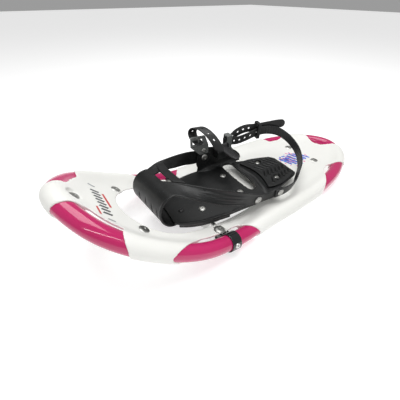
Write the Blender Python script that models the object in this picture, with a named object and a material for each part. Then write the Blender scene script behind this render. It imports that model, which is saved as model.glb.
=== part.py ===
"""Recreational snowshoe with a turning binding, for a right foot.

Metres, +Z up, +Y towards the toe, +X to the wearer's right.  The origin is on the ground, under the
middle of the frame.  The binding stands on its pivot axle and is turned a few degrees toes-out.
"""
import math

import bmesh
import bpy
import numpy as np
from mathutils import Matrix, Vector

# Frame and deck
LENGTH = 0.560
NOSE_RISE = 0.106
RISE_START = 0.057
TUBE_R = 0.0112
WRAP_IN = 0.0115
WRAP_OUT = 0.0135
RING_SIDES = 12
LOOP_COUNT = 76
DECK_LIFT = 0.0045
NOSE_LIFT = 0.004
DECK_THICK = 0.002
GAP = 0.0003

# Binding
PIVOT_Y = 0.098
AXLE_Z = 0.0165
AXLE_R = 0.0035
TOE_OUT = math.radians(6.5)
FLOOR_Z = 0.032
FLOOR_THICK = 0.003
SHEET = 0.0026

FACET = math.cos(math.pi / RING_SIDES)
TUBE_Z = WRAP_OUT * FACET
NOSE_END = LENGTH / 2 - WRAP_OUT * FACET
TAIL_END = TUBE_R * FACET - LENGTH / 2

# Half widths of the frame's centre line from the nose to the tail
PLAN = [
    (0.0, NOSE_END), (0.040, 0.2535), (0.065, 0.228), (0.081, 0.188), (0.090, 0.140),
    (0.0895, 0.085), (0.088, 0.02), (0.0890, -0.05), (0.0862, -0.115), (0.0765, -0.175),
    (0.056, -0.226), (0.031, -0.2565), (0.0, TAIL_END),
]


# ---------------------------------------------------------------- small tools

def clear_scene():
    for obj in list(bpy.data.objects):
        bpy.data.objects.remove(obj, do_unlink=True)


def material(name, colour, roughness, metallic=0.0):
    mat = bpy.data.materials.new(name)
    mat.use_nodes = True
    shader = mat.node_tree.nodes["Principled BSDF"]
    shader.inputs["Base Color"].default_value = (*colour, 1.0)
    shader.inputs["Roughness"].default_value = roughness
    shader.inputs["Metallic"].default_value = metallic
    return mat


def add(name, verts, faces, mat=None, parent=None, matrix=None):
    """A mesh object, its faces turned outwards; its vertices stay in world metres."""
    mesh = bpy.data.meshes.new(name)
    mesh.from_pydata([tuple(v) for v in verts], [], faces)
    if matrix is not None:
        mesh.transform(matrix)
    work = bmesh.new()
    work.from_mesh(mesh)
    if work.calc_volume(signed=True) < 0:
        bmesh.ops.reverse_faces(work, faces=work.faces)
    work.to_mesh(mesh)
    work.free()
    mesh.shade_smooth()
    mesh.set_sharp_from_angle(angle=math.radians(40))
    obj = bpy.data.objects.new(name, mesh)
    bpy.context.scene.collection.objects.link(obj)
    if mat is not None:
        mesh.materials.append(mat)
    if parent is not None:
        obj.parent = parent
        obj.matrix_parent_inverse = Matrix.Translation(parent.location).inverted()
    return obj


def empty(name, place, parent=None):
    obj = bpy.data.objects.new(name, None)
    obj.location = place
    bpy.context.scene.collection.objects.link(obj)
    if parent is not None:
        obj.parent = parent
        obj.matrix_parent_inverse = Matrix.Translation(parent.location).inverted()
    return obj


def boolean(target, tool, operation, solver='EXACT'):
    """Cut or join with a helper solid, which is kept out of the part."""
    tool.hide_render = True
    tool.display_type = 'WIRE'
    step = target.modifiers.new(operation.lower(), 'BOOLEAN')
    step.operation = operation
    step.object = tool
    step.solver = solver


def rings_to_faces(rings, sides, closed=False):
    """Quads between rings of vertices that follow each other, with caps unless the rings close."""
    faces = []
    spans = rings if closed else rings - 1
    for i in range(spans):
        a = i * sides
        b = (i + 1) % rings * sides
        for j in range(sides):
            k = (j + 1) % sides
            faces.append((a + j, a + k, b + k, b + j))
    if not closed:
        faces.append(tuple(reversed(range(sides))))
        faces.append(tuple(range((rings - 1) * sides, rings * sides)))
    return faces


def turned(profile, segments):
    """A solid turned about Z from (radius, z) pairs that start and end on the axis."""
    inner = profile[1:-1]
    verts = [(0, 0, profile[0][1])]
    for radius, z in inner:
        for j in range(segments):
            turn = 2 * math.pi * j / segments
            verts.append((radius * math.cos(turn), radius * math.sin(turn), z))
    verts.append((0, 0, profile[-1][1]))
    last = len(verts) - 1
    faces = []
    for j in range(segments):
        k = (j + 1) % segments
        faces.append((0, 1 + j, 1 + k))
        faces.append((last, last - segments + k, last - segments + j))
        for i in range(len(inner) - 1):
            a = 1 + i * segments
            b = a + segments
            faces.append((a + j, b + j, b + k, a + k))
    return verts, faces


def turned_ring(profile, segments):
    """A ring turned about Z from a closed loop of (radius, z) pairs."""
    verts = []
    for j in range(segments):
        turn = 2 * math.pi * j / segments
        verts += [(r * math.cos(turn), r * math.sin(turn), z) for r, z in profile]
    return verts, rings_to_faces(segments, len(profile), closed=True)


def prism(outline, low, high):
    """An upright solid over a plan outline."""
    verts = [(x, y, low) for x, y in outline] + [(x, y, high) for x, y in outline]
    return verts, rings_to_faces(2, len(outline))


def box(low, high):
    outline = [(low[0], low[1]), (high[0], low[1]), (high[0], high[1]), (low[0], high[1])]
    return prism(outline, low[2], high[2])


def side_plate(outline, middle, thick):
    """A plate that stands along Y and Z, centred at x = middle."""
    verts = [(middle - thick / 2, y, z) for y, z in outline]
    verts += [(middle + thick / 2, y, z) for y, z in outline]
    return verts, rings_to_faces(2, len(outline))


def signed_volume(verts, faces):
    total = 0.0
    for face in faces:
        for second, third in zip(face[1:], face[2:]):
            total += Vector(verts[face[0]]).dot(Vector(verts[second]).cross(Vector(verts[third]))) / 6
    return total


def joined(*solids):
    """Several solids as one mesh, each with its faces turned outwards."""
    verts = []
    faces = []
    for part_verts, part_faces in solids:
        start = len(verts)
        step = 1 if signed_volume(part_verts, part_faces) > 0 else -1
        verts += list(part_verts)
        faces += [tuple(start + i for i in face[::step]) for face in part_faces]
    return verts, faces


def smooth_path(points, count):
    """Evenly spaced points on a smooth open curve through the given ones."""
    pts = [Vector(p) for p in points]
    pts = [2 * pts[0] - pts[1]] + pts + [2 * pts[-1] - pts[-2]]
    fine = []
    for i in range(1, len(pts) - 2):
        fine += [catmull(pts[i - 1:i + 3], step / 16) for step in range(16)]
    fine.append(pts[-2])
    return evenly(fine, count)


def catmull(four, t):
    a, b, c, d = four
    return 0.5 * (2 * b + (c - a) * t + (2 * a - 5 * b + 4 * c - d) * t * t
                  + (3 * b - a - 3 * c + d) * t ** 3)


def evenly(fine, count):
    lengths = np.cumsum([0.0] + [(q - p).length for p, q in zip(fine, fine[1:])])
    wanted = np.linspace(0, lengths[-1], count)
    axes = [np.interp(wanted, lengths, [p[k] for p in fine]) for k in range(3)]
    return [Vector(p) for p in zip(*axes)]


def ribbon(edge_a, edge_b, thick, count):
    """A sheet of even thickness between two edges, each a smooth curve through a few points."""
    side_a = smooth_path(edge_a, count)
    side_b = smooth_path(edge_b, count)
    verts = []
    for i in range(count):
        along = (side_a[min(i + 1, count - 1)] - side_a[max(i - 1, 0)]).normalized()
        along += (side_b[min(i + 1, count - 1)] - side_b[max(i - 1, 0)]).normalized()
        normal = along.cross(side_b[i] - side_a[i]).normalized() * thick / 2
        verts += [side_a[i] - normal, side_b[i] - normal, side_b[i] + normal, side_a[i] + normal]
    return verts, rings_to_faces(count, 4)


def strap(points, across, width, thick, count):
    """A flat strap along a smooth curve; across gives its width direction at each point given."""
    middle = smooth_path(points, count)
    sides = smooth_path(across, count)
    half = [s.normalized() * width / 2 for s in sides]
    edge_a = [m - h for m, h in zip(middle, half)]
    edge_b = [m + h for m, h in zip(middle, half)]
    verts = []
    for i in range(count):
        along = middle[min(i + 1, count - 1)] - middle[max(i - 1, 0)]
        normal = along.cross(half[i]).normalized() * thick / 2
        verts += [edge_a[i] - normal, edge_b[i] - normal, edge_b[i] + normal, edge_a[i] + normal]
    return verts, rings_to_faces(count, 4)


def aimed(place, direction, roll_to=(0, 0, 1)):
    """A matrix that takes local Z to a direction and the origin to a place."""
    z = Vector(direction).normalized()
    x = Vector(roll_to).cross(z)
    if x.length < 1e-4:
        x = Vector((1, 0, 0)).cross(z)
    x.normalize()
    turn = Matrix((x, z.cross(x), z)).transposed().to_4x4()
    return Matrix.Translation(place) @ turn


# ---------------------------------------------------------------- frame loop

def rise(y):
    return NOSE_RISE * max(0.0, (y - RISE_START) / (NOSE_END - RISE_START)) ** 2


def slope(y):
    step = 0.001
    return math.atan((deck_surface(y + step) - deck_surface(y - step)) / (2 * step))


def loop_curve():
    """Points on the frame's plan, from the nose down the right side and back up the left."""
    right = [Vector((x, y, 0)) for x, y in PLAN]
    left = [Vector((-p.x, p.y, 0)) for p in right[-2:0:-1]]
    ring = right + left
    fine = []
    for i in range(len(ring)):
        four = [ring[(i + k) % len(ring)] for k in (-1, 0, 1, 2)]
        fine += [catmull(four, step / 16) for step in range(16)]
    fine.append(ring[0].copy())
    return fine


LOOP = loop_curve()
LOOP_LENGTHS = np.cumsum([0.0] + [(q - p).length for p, q in zip(LOOP, LOOP[1:])])


def on_loop(fraction):
    """Plan point and outward direction at a fraction of the way round the frame."""
    along = fraction % 1.0 * LOOP_LENGTHS[-1]
    step = 0.0015

    def at(length):
        length %= LOOP_LENGTHS[-1]
        return Vector([np.interp(length, LOOP_LENGTHS, [p[k] for p in LOOP]) for k in (0, 1)])

    forward = (at(along + step) - at(along - step)).normalized()
    return at(along), Vector((-forward.y, forward.x))


def fraction_near(x, y):
    gaps = [(p.x - x) ** 2 + (p.y - y) ** 2 for p in LOOP]
    return LOOP_LENGTHS[int(np.argmin(gaps))] / LOOP_LENGTHS[-1]


def loop_sweep(radius):
    """A closed ring of the given radius all round the frame's centre line."""
    centres = []
    for i in range(LOOP_COUNT):
        point, _ = on_loop(i / LOOP_COUNT)
        centres.append(Vector((point.x, point.y, TUBE_Z + rise(point.y))))
    verts = []
    for i, centre in enumerate(centres):
        forward = (centres[(i + 1) % LOOP_COUNT] - centres[i - 1]).normalized()
        outward = Vector((-forward.y, forward.x, 0)).normalized()
        upward = forward.cross(outward)
        for j in range(RING_SIDES):
            turn = 2 * math.pi * (j + 0.5) / RING_SIDES
            verts.append(centre + radius * (outward * math.cos(turn) + upward * math.sin(turn)))
    return verts, rings_to_faces(LOOP_COUNT, RING_SIDES, closed=True)


# ---------------------------------------------------------------- deck

def deck_surface(y):
    """Height of the deck's top face, which comes up to the top of the tube at the nose."""
    return TUBE_Z + DECK_LIFT + DECK_THICK + rise(y) + NOSE_LIFT * ease((y - 0.190) / 0.065)


def deck_plate():
    """Rungs across the frame, from nose to tail."""
    verts = []
    for i in range(1, LOOP_COUNT // 2):
        right, _ = on_loop(i / LOOP_COUNT)
        top = deck_surface(right.y)
        for x, z in ((-right.x, top - DECK_THICK), (right.x, top - DECK_THICK),
                     (right.x, top), (-right.x, top)):
            verts.append((x, right.y, z))
    return verts, rings_to_faces(LOOP_COUNT // 2 - 1, 4)


def ease(t):
    t = min(1.0, max(0.0, t))
    return t * t * (3 - 2 * t)


def window_outline(start, end, depth, ramp_a, ramp_b):
    """Plan of a cut-out in the wrap, tapering out over the tube at both ends."""
    first = fraction_near(*start)
    last = fraction_near(*end)
    steps = 14
    outside = WRAP_OUT + 0.001
    outer = []
    inner = []
    for i in range(steps + 1):
        t = i / steps
        point, outward = on_loop(first + (last - first) * t)
        cover = ease(t / ramp_a) * ease((1 - t) / ramp_b)
        outer.append(point + outward * (outside + 0.012))
        inner.append(point + outward * (outside - (outside + depth) * cover))
    return [tuple(p) for p in outer + inner[::-1]]


def mirrored(outline):
    return [(-x, y) for x, y in outline][::-1]


# Ends of the cut-outs, then how far in each one reaches and its end tapers
RIGHT_WINDOWS = [
    ((0.001, 0.26696), (0.0680, 0.2225), 0.0115, 0.26, 0.42),
    ((0.0790, 0.197), (0.0889, 0.060), 0.0145, 0.50, 0.22),
    ((0.084, -0.133), (0.058, -0.222), 0.0100, 0.3, 0.5),
    ((0.053, -0.2315), (-0.037, -0.2515), 0.0250, 0.4, 0.4),
]
LEFT_WINDOWS = [
    ((0.013, 0.266), (0.068, 0.222), 0.0158, 0.30, 0.14),
    ((0.0798, 0.196), (0.0887, 0.046), 0.0145, 0.40, 0.22),
    ((0.0878, -0.094), (0.061, -0.216), 0.0165, 0.65, 0.30),
]


def toe_hole_outline():
    """An arch over the toes, straight sides and a rounded rear."""
    half = 0.057
    points = []
    for i in range(13):
        turn = math.pi * i / 12
        points.append((half * math.cos(turn), 0.152 + 0.058 * math.sin(turn)))
    for centre, start in ((-1, 180), (1, 270)):
        for i in range(4):
            turn = math.radians(start + 30 * i)
            points.append((centre * (half - 0.02) + 0.02 * math.cos(turn), 0.038 + 0.02 * math.sin(turn)))
    return points


DECK_RIVETS = {
    "deck_rivet_nose": (0.0, 0.250), "deck_rivet_front_l": (-0.0455, 0.1985),
    "deck_rivet_front_r": (0.0455, 0.1985), "deck_rivet_tail_l": (-0.032, -0.176),
    "deck_rivet_tail_r": (0.032, -0.176), "heel_crampon_rivet_l": (-0.034, 0.001),
    "heel_crampon_rivet_r": (0.034, 0.001), "clamp_rivet_l": (-0.0680, 0.1005),
    "clamp_rivet_r": (0.0680, 0.1005),
}
RIVET_HOLE = 0.0024
RIVET_SHANK = 0.002
CLAMP_DEPTH = 0.0145


def deck_matrix(x, y):
    """On the deck's top face, with Z square to it."""
    return Matrix.Translation((x, y, deck_surface(y))) @ Matrix.Rotation(slope(y), 4, 'X')


def make_deck(mat):
    deck = add("deck", *deck_plate(), mat)
    boolean(deck, add("cut_wrap_outside", *loop_sweep(WRAP_OUT)), 'UNION')
    boolean(deck, add("cut_wrap_inside", *loop_sweep(WRAP_IN)), 'DIFFERENCE')
    top = NOSE_RISE + 0.06
    windows = [prism(window_outline(*window), -0.01, top) for window in RIGHT_WINDOWS]
    windows += [prism(mirrored(window_outline(*window)), -0.01, top) for window in LEFT_WINDOWS]
    windows.append(prism(toe_hole_outline(), -0.01, top))
    boolean(deck, add("cut_windows", *joined(*windows)), 'DIFFERENCE', 'MANIFOLD')
    drills = []
    for x, y in DECK_RIVETS.values():
        verts, faces = turned([(0, 0.006), (RIVET_HOLE, 0.006), (RIVET_HOLE, -0.006), (0, -0.006)], 10)
        drills.append(([deck_matrix(x, y) @ Vector(v) for v in verts], faces))
    boolean(deck, add("cut_rivet_holes", *joined(*drills)), 'DIFFERENCE')


def rivet_profile(head, grip, tail):
    """A domed head above z = 0, a shank through the grip, and a formed head under it."""
    return [
        (0, 0.0021), (head * 0.6, 0.0018), (head, 0.0008), (head, GAP), (RIVET_SHANK, GAP),
        (RIVET_SHANK, -grip - GAP), (tail, -grip - GAP), (tail, -grip - 0.0012), (0, -grip - 0.0012),
    ]


def make_deck_rivets(mat):
    for name, (x, y) in DECK_RIVETS.items():
        grip = DECK_THICK * math.cos(slope(y))
        head = 0.0056 if name == "deck_rivet_nose" else 0.0066
        if name.startswith("heel_crampon"):
            grip += CRAMPON_SHEET + GAP
        if name.startswith("clamp"):
            grip += CLAMP_DEPTH
            head = 0.0072
        add(name, *turned(rivet_profile(head, grip, 0.004), 10), mat, matrix=deck_matrix(x, y))


# ---------------------------------------------------------------- crampons

CRAMPON_SHEET = 0.0018


def teeth(start, end, count, root, tip, top):
    """Outline of a toothed edge, as (along, z) pairs, with a straight top."""
    pitch = (end - start) / count
    points = [(start, top)]
    for i in range(count):
        base = start + i * pitch
        points += [(base, root), (base + pitch * 0.3, tip), (base + pitch * 0.7, tip)]
    return points + [(end, root), (end, top)]


def make_heel_crampon(mat):
    """A plate under the deck with a toothed flange across its front and rear edge."""
    top = deck_surface(0.0) - DECK_THICK - GAP
    plate = box((-0.046, -0.013, top - CRAMPON_SHEET), (0.046, 0.015, top))
    outline = teeth(-0.046, 0.046, 5, 0.0085, 0.0015, top - CRAMPON_SHEET / 2)
    crampon = add("heel_crampon", *plate, mat)
    for y in (-0.0121, 0.0141):
        verts, faces = prism(outline, 0, CRAMPON_SHEET)
        stand = [(x, y - CRAMPON_SHEET / 2 + d, z) for x, z, d in verts]
        boolean(crampon, add("cut_heel_flange", stand, faces), 'UNION')
    drills = []
    for x in (-0.034, 0.034):
        drills.append(prism([(x + RIVET_HOLE * math.cos(a), 0.001 + RIVET_HOLE * math.sin(a))
                             for a in np.linspace(0, 2 * math.pi, 10, endpoint=False)], 0.01, 0.03))
    boolean(crampon, add("cut_heel_crampon_holes", *joined(*drills)), 'DIFFERENCE')


EAR_X = 0.0385
CRAMPON_TOP = FLOOR_Z - GAP
FOREFOOT_RIVETS = {
    "crampon_rivet_front_l": (-0.030, 0.002), "crampon_rivet_front_r": (0.025, 0.002),
    "crampon_rivet_rear_l": (-0.025, -0.070), "crampon_rivet_rear_r": (0.025, -0.070),
}


def make_toe_crampon(mat, parent):
    """A plate under the foot with two toothed ears on the axle and a toothed front."""
    low = CRAMPON_TOP - CRAMPON_SHEET
    plate = box((-EAR_X - 0.001, 0.020, low), (EAR_X + 0.001, 0.112, CRAMPON_TOP))
    crampon = add("toe_crampon", *plate, mat, parent)
    outline = teeth(0.024, 0.112, 4, 0.010, 0.002, low + CRAMPON_SHEET / 2)
    ears = [side_plate(outline, side * EAR_X, 0.002) for side in (-1, 1)]
    boolean(crampon, add("cut_toe_ears", *joined(*ears)), 'UNION')
    front = teeth(-EAR_X + 0.003, EAR_X - 0.003, 3, 0.013, 0.004, low + CRAMPON_SHEET / 2)
    verts, faces = prism(front, 0, CRAMPON_SHEET)
    boolean(crampon, add("cut_toe_front", [(x, 0.110 + d, z) for x, z, d in verts], faces), 'UNION')
    bore = turned([(0, -0.06), (BUSH_R + GAP, -0.06), (BUSH_R + GAP, 0.06), (0, 0.06)], 16)
    across = aimed((0, PIVOT_Y, AXLE_Z), (1, 0, 0))
    boolean(crampon, add("cut_ear_bores", *bore, matrix=across), 'DIFFERENCE')
    drills = []
    for u, v in FOREFOOT_RIVETS.values():
        drills.append(drill(foot(u, v, CRAMPON_TOP), 0.02))
    boolean(crampon, add("cut_toe_crampon_holes", *joined(*drills)), 'DIFFERENCE')


# ---------------------------------------------------------------- pivot

BUSH_R = 0.0056
BUSH_HALF = 0.004
AXLE_HALF = 0.0622
CLAMP_OUT = 0.0136
CLAMP_BORE = 0.0119
CLAMP_HALF = 0.008
CLAMP_TONGUE = 0.004
SCREW_RAISED = math.radians(18)


def make_pivot(steel, black, plastic, parent):
    """Two clamps round the tube carry an axle; bushes on it carry the toe crampon."""
    point, _ = on_loop(fraction_near(0.0896, PIVOT_Y))
    reach = abs(point.x)
    centre_z = TUBE_Z + rise(PIVOT_Y)
    pitch = slope(PIVOT_Y)
    for side, tag in ((-1, "l"), (1, "r")):
        place = Matrix.Translation((side * reach, PIVOT_Y, centre_z))
        lean = place @ Matrix.Rotation(pitch - math.pi / 2, 4, 'X')
        ring = turned([(0, -CLAMP_HALF), (CLAMP_OUT, -CLAMP_HALF), (CLAMP_OUT, CLAMP_HALF),
                       (0, CLAMP_HALF)], 24)
        clamp = add("pivot_clamp_" + tag, *ring, black, matrix=lean)
        under = deck_surface(PIVOT_Y) - DECK_THICK - GAP
        block = box((-0.0125, -CLAMP_HALF, -0.00512), (0.0125, CLAMP_HALF, 0.00512))
        boss = Matrix.Translation((side * 0.0705, PIVOT_Y, AXLE_Z - 0.0022))
        boolean(clamp, add("cut_boss_" + tag, *block, matrix=boss), 'UNION')
        tongue = box((-0.011, -CLAMP_HALF, -CLAMP_TONGUE), (0.0105, CLAMP_HALF, 0))
        lie = Matrix.Translation((side * 0.0690, PIVOT_Y, under)) @ Matrix.Rotation(pitch, 4, 'X')
        if side < 0:
            lie = lie @ Matrix.Rotation(math.pi, 4, 'Z')
        boolean(clamp, add("cut_tongue_" + tag, *tongue, matrix=lie), 'UNION')
        hollow = turned([(0, -0.02), (CLAMP_BORE, -0.02), (CLAMP_BORE, 0.02), (0, 0.02)], 24)
        boolean(clamp, add("cut_clamp_bore_" + tag, *hollow, matrix=lean), 'DIFFERENCE')
        socket = turned([(0, -0.02), (AXLE_R + GAP, -0.02), (AXLE_R + GAP, 0.02), (0, 0.02)], 14)
        aim = aimed((side * (AXLE_HALF + GAP - 0.02), PIVOT_Y, AXLE_Z), (1, 0, 0))
        boolean(clamp, add("cut_socket_" + tag, *socket, matrix=aim), 'DIFFERENCE')
        x, y = DECK_RIVETS["clamp_rivet_" + tag]
        verts, faces = turned([(0, 0.02), (RIVET_HOLE, 0.02), (RIVET_HOLE, -0.02), (0, -0.02)], 10)
        boolean(clamp, add("cut_clamp_hole_" + tag, verts, faces, matrix=deck_matrix(x, y)), 'DIFFERENCE')
        outward = Vector((side * math.cos(SCREW_RAISED), 0, math.sin(SCREW_RAISED)))
        seat = Vector((side * reach, PIVOT_Y, centre_z)) + outward * (CLAMP_OUT + GAP)
        screw = [(0, 0.0016), (0.0018, 0.0016), (0.0034, 0.0010), (0.0036, 0.0), (0, 0.0)]
        add("clamp_screw_" + tag, *turned(screw, 12), steel, matrix=aimed(seat, outward))
        bush = [(AXLE_R + GAP, -BUSH_HALF), (BUSH_R, -BUSH_HALF), (BUSH_R, BUSH_HALF),
                (AXLE_R + GAP, BUSH_HALF)]
        around = aimed((side * EAR_X, PIVOT_Y, AXLE_Z), (1, 0, 0))
        add("pivot_bush_" + tag, *turned_ring(bush, 14), plastic, parent, around)
    rod = turned([(0, -AXLE_HALF), (AXLE_R, -AXLE_HALF), (AXLE_R, AXLE_HALF), (0, AXLE_HALF)], 14)
    add("pivot_axle", *rod, steel, matrix=aimed((0, PIVOT_Y, AXLE_Z), (1, 0, 0)))


# ---------------------------------------------------------------- binding

def foot(u, v, z):
    """A point in the binding's own axes: u to the right, v forward of the pivot, z from the ground."""
    x = u * math.cos(TOE_OUT) + v * math.sin(TOE_OUT)
    y = PIVOT_Y - u * math.sin(TOE_OUT) + v * math.cos(TOE_OUT)
    return Vector((x, y, z))


FOOT_MATRIX = Matrix.Translation((0, PIVOT_Y, 0)) @ Matrix.Rotation(-TOE_OUT, 4, 'Z')


def drill(place, half):
    verts, faces = turned([(0, -half), (RIVET_HOLE, -half), (RIVET_HOLE, half), (0, half)], 10)
    return [place + Vector(v) for v in verts], faces


# The moulded floor: how far forward of the pivot, left edge, right edge
FLOOR = [
    (-0.190, -0.026, 0.026), (-0.184, -0.032, 0.032), (-0.165, -0.038, 0.038), (-0.135, -0.047, 0.046),
    (-0.115, -0.0585, 0.052), (-0.095, -0.0585, 0.0585), (-0.060, -0.0585, 0.0585),
    (-0.020, -0.0575, 0.0585), (0.002, -0.0545, 0.0545), (0.020, -0.0515, 0.0525),
    (0.040, -0.0435, 0.0465), (0.050, -0.037, 0.042),
]
# Upper edge of the skirt that hangs from each side of the forefoot
SKIRT = [(-0.0560, -0.030), (-0.0540, -0.006), (-0.0515, 0.014), (-0.0455, 0.032), (-0.0390, 0.044)]
SKIRT_DROP = 0.0072
HEEL_RIVETS = {"heel_pad_rivet_l": (-0.0255, -0.147), "heel_pad_rivet_r": (0.0255, -0.147)}
HEEL_PAD_THICK = 0.003
HEEL_SINK = 0.001

# Side walls as (v, z) outlines
RIGHT_WALL = [
    (-0.131, 0.0335), (-0.034, 0.0335), (-0.037, 0.070), (-0.041, 0.077), (-0.048, 0.080),
    (-0.070, 0.076), (-0.094, 0.070), (-0.106, 0.063), (-0.118, 0.056), (-0.129, 0.045),
]
LEFT_WALL = [
    (-0.131, 0.0335), (-0.026, 0.0335), (-0.045, 0.0375), (-0.058, 0.0395), (-0.064, 0.0500),
    (-0.084, 0.0500), (-0.098, 0.0430), (-0.112, 0.0465), (-0.130, 0.0465),
]
WALL_U = 0.0572

# The toe cap's curl: its middle, half depth, half height and how much it turns inwards
CURL_V = 0.053
CURL_DEEP = 0.0212
CURL_HIGH = 0.0263
CURL_SKEW = 0.17


def make_footbed(mat, parent):
    """Floor, side walls, rear feet and the slot across the instep, in one moulding."""
    verts = []
    top = FLOOR_Z + FLOOR_THICK
    for v, left, right in FLOOR:
        verts += [(left, v, FLOOR_Z), (right, v, FLOOR_Z), (right, v, top), (left, v, top)]
    floor = add("footbed", verts, rings_to_faces(len(FLOOR), 4), mat, parent, FOOT_MATRIX)
    walls = [side_plate(RIGHT_WALL, WALL_U, SHEET), side_plate(LEFT_WALL, -WALL_U, SHEET)]
    boolean(floor, add("cut_walls", *joined(*walls), matrix=FOOT_MATRIX), 'UNION')
    low = deck_surface(0.0) + 2 * GAP
    feet = [box((side * 0.014 - 0.002, -0.172, low), (side * 0.014 + 0.002, -0.118, FLOOR_Z + 0.001))
            for side in (-1, 1)]
    boolean(floor, add("cut_heel_feet", *joined(*feet), matrix=FOOT_MATRIX), 'UNION')
    for side in (-1, 1):
        high = [(-side * u, v, FLOOR_Z + 0.0012) for u, v in SKIRT]
        low = [(x, v, z - SKIRT_DROP) for x, v, z in high]
        skirt = ribbon(high, low, SHEET - 0.0004, 9)
        boolean(floor, add("cut_skirt", *skirt, matrix=FOOT_MATRIX), 'UNION')
    slot = [(-0.030, -0.094), (-0.026, -0.086), (0.040, -0.0835), (0.051, -0.0860), (0.0540, -0.0940),
            (0.050, -0.1055), (0.040, -0.1045), (-0.014, -0.1065), (-0.025, -0.1045)]
    boolean(floor, add("cut_slot", *prism(slot, 0.0, 0.07), matrix=FOOT_MATRIX), 'DIFFERENCE')
    drills = []
    for group in (FOREFOOT_RIVETS, HEEL_RIVETS, CAP_RIVETS):
        drills += [drill(foot(u, v, FLOOR_Z), 0.02) for u, v in group.values()]
    drills += [side_drill(*place) for place in SIDE_RIVETS.values()]
    drills.append(side_drill(*FRONT_BUCKLE_RIVET))
    boolean(floor, add("cut_floor_holes", *joined(*drills)), 'DIFFERENCE')


# The heel loop swings on the two rivets that share this axis
HEEL_SWING = (0.0, -0.121, 0.0397)
SIDE_RIVETS = {
    "arm_rivet_l": (-WALL_U, -0.0745, 0.0445), "arm_rivet_r": (WALL_U, -0.0505, 0.0610),
    "heel_strap_rivet": (-WALL_U, *HEEL_SWING[1:]), "buckle_rivet_rear": (WALL_U, *HEEL_SWING[1:]),
}
CAP_RIVETS = {"toe_cap_rivet_l": (-0.018, 0.031), "toe_cap_rivet_r": (0.018, 0.031)}


def moved(solid, matrix):
    verts, faces = solid
    return [matrix @ Vector(v) for v in verts], faces


def side_drill(u, v, z):
    sideways = aimed(foot(u, v, z), FOOT_MATRIX.to_3x3() @ Vector((1, 0, 0)))
    return moved(turned([(0, -0.01), (RIVET_HOLE, -0.01), (RIVET_HOLE, 0.01), (0, 0.01)], 10), sideways)


def make_heel_pad(mat, parent):
    """A raised pad with a hollow front edge and herringbone ribs."""
    low = FLOOR_Z + FLOOR_THICK + GAP
    front = [(0.040 - 0.008 * i, -0.116 - 0.010 * math.sin(math.pi * i / 10)) for i in range(11)]
    outline = [(-0.044, -0.135), (-0.036, -0.165), (-0.029, -0.186), (0.029, -0.186), (0.036, -0.165),
               (0.044, -0.135)] + front
    pad = add("heel_pad", *prism(outline, low, low + HEEL_PAD_THICK), mat, parent, FOOT_MATRIX)
    ribs = []
    for row in range(5):
        v = -0.140 - 0.0095 * row
        for side in (-1, 1):
            ribs.append(rib(side, v, low + HEEL_PAD_THICK, 0.029 - 0.0016 * row))
    boolean(pad, add("cut_pad_ribs", *joined(*ribs), matrix=FOOT_MATRIX), 'UNION')
    sinks = []
    holes = []
    for u, v in HEEL_RIVETS.values():
        wide = [(u + 0.0062 * math.cos(a), v + 0.0062 * math.sin(a))
                for a in np.linspace(0, 2 * math.pi, 14, endpoint=False)]
        sinks.append(prism(wide, low + HEEL_SINK, 0.07))
        holes.append(drill(Vector((u, v, low)), 0.01))
    boolean(pad, add("cut_pad_sinks", *joined(*sinks), matrix=FOOT_MATRIX), 'DIFFERENCE')
    boolean(pad, add("cut_pad_holes", *joined(*holes), matrix=FOOT_MATRIX), 'DIFFERENCE')


def rib(side, v, z, reach):
    """One arm of a chevron."""
    start = Vector((side * 0.003, v))
    end = Vector((side * reach, v + 0.012))
    width = Vector((0, 0.0022))
    outline = [tuple(start - width), tuple(end - width), tuple(end + width), tuple(start + width)]
    return prism(outline, z - 0.001, z + 0.0016)


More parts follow.
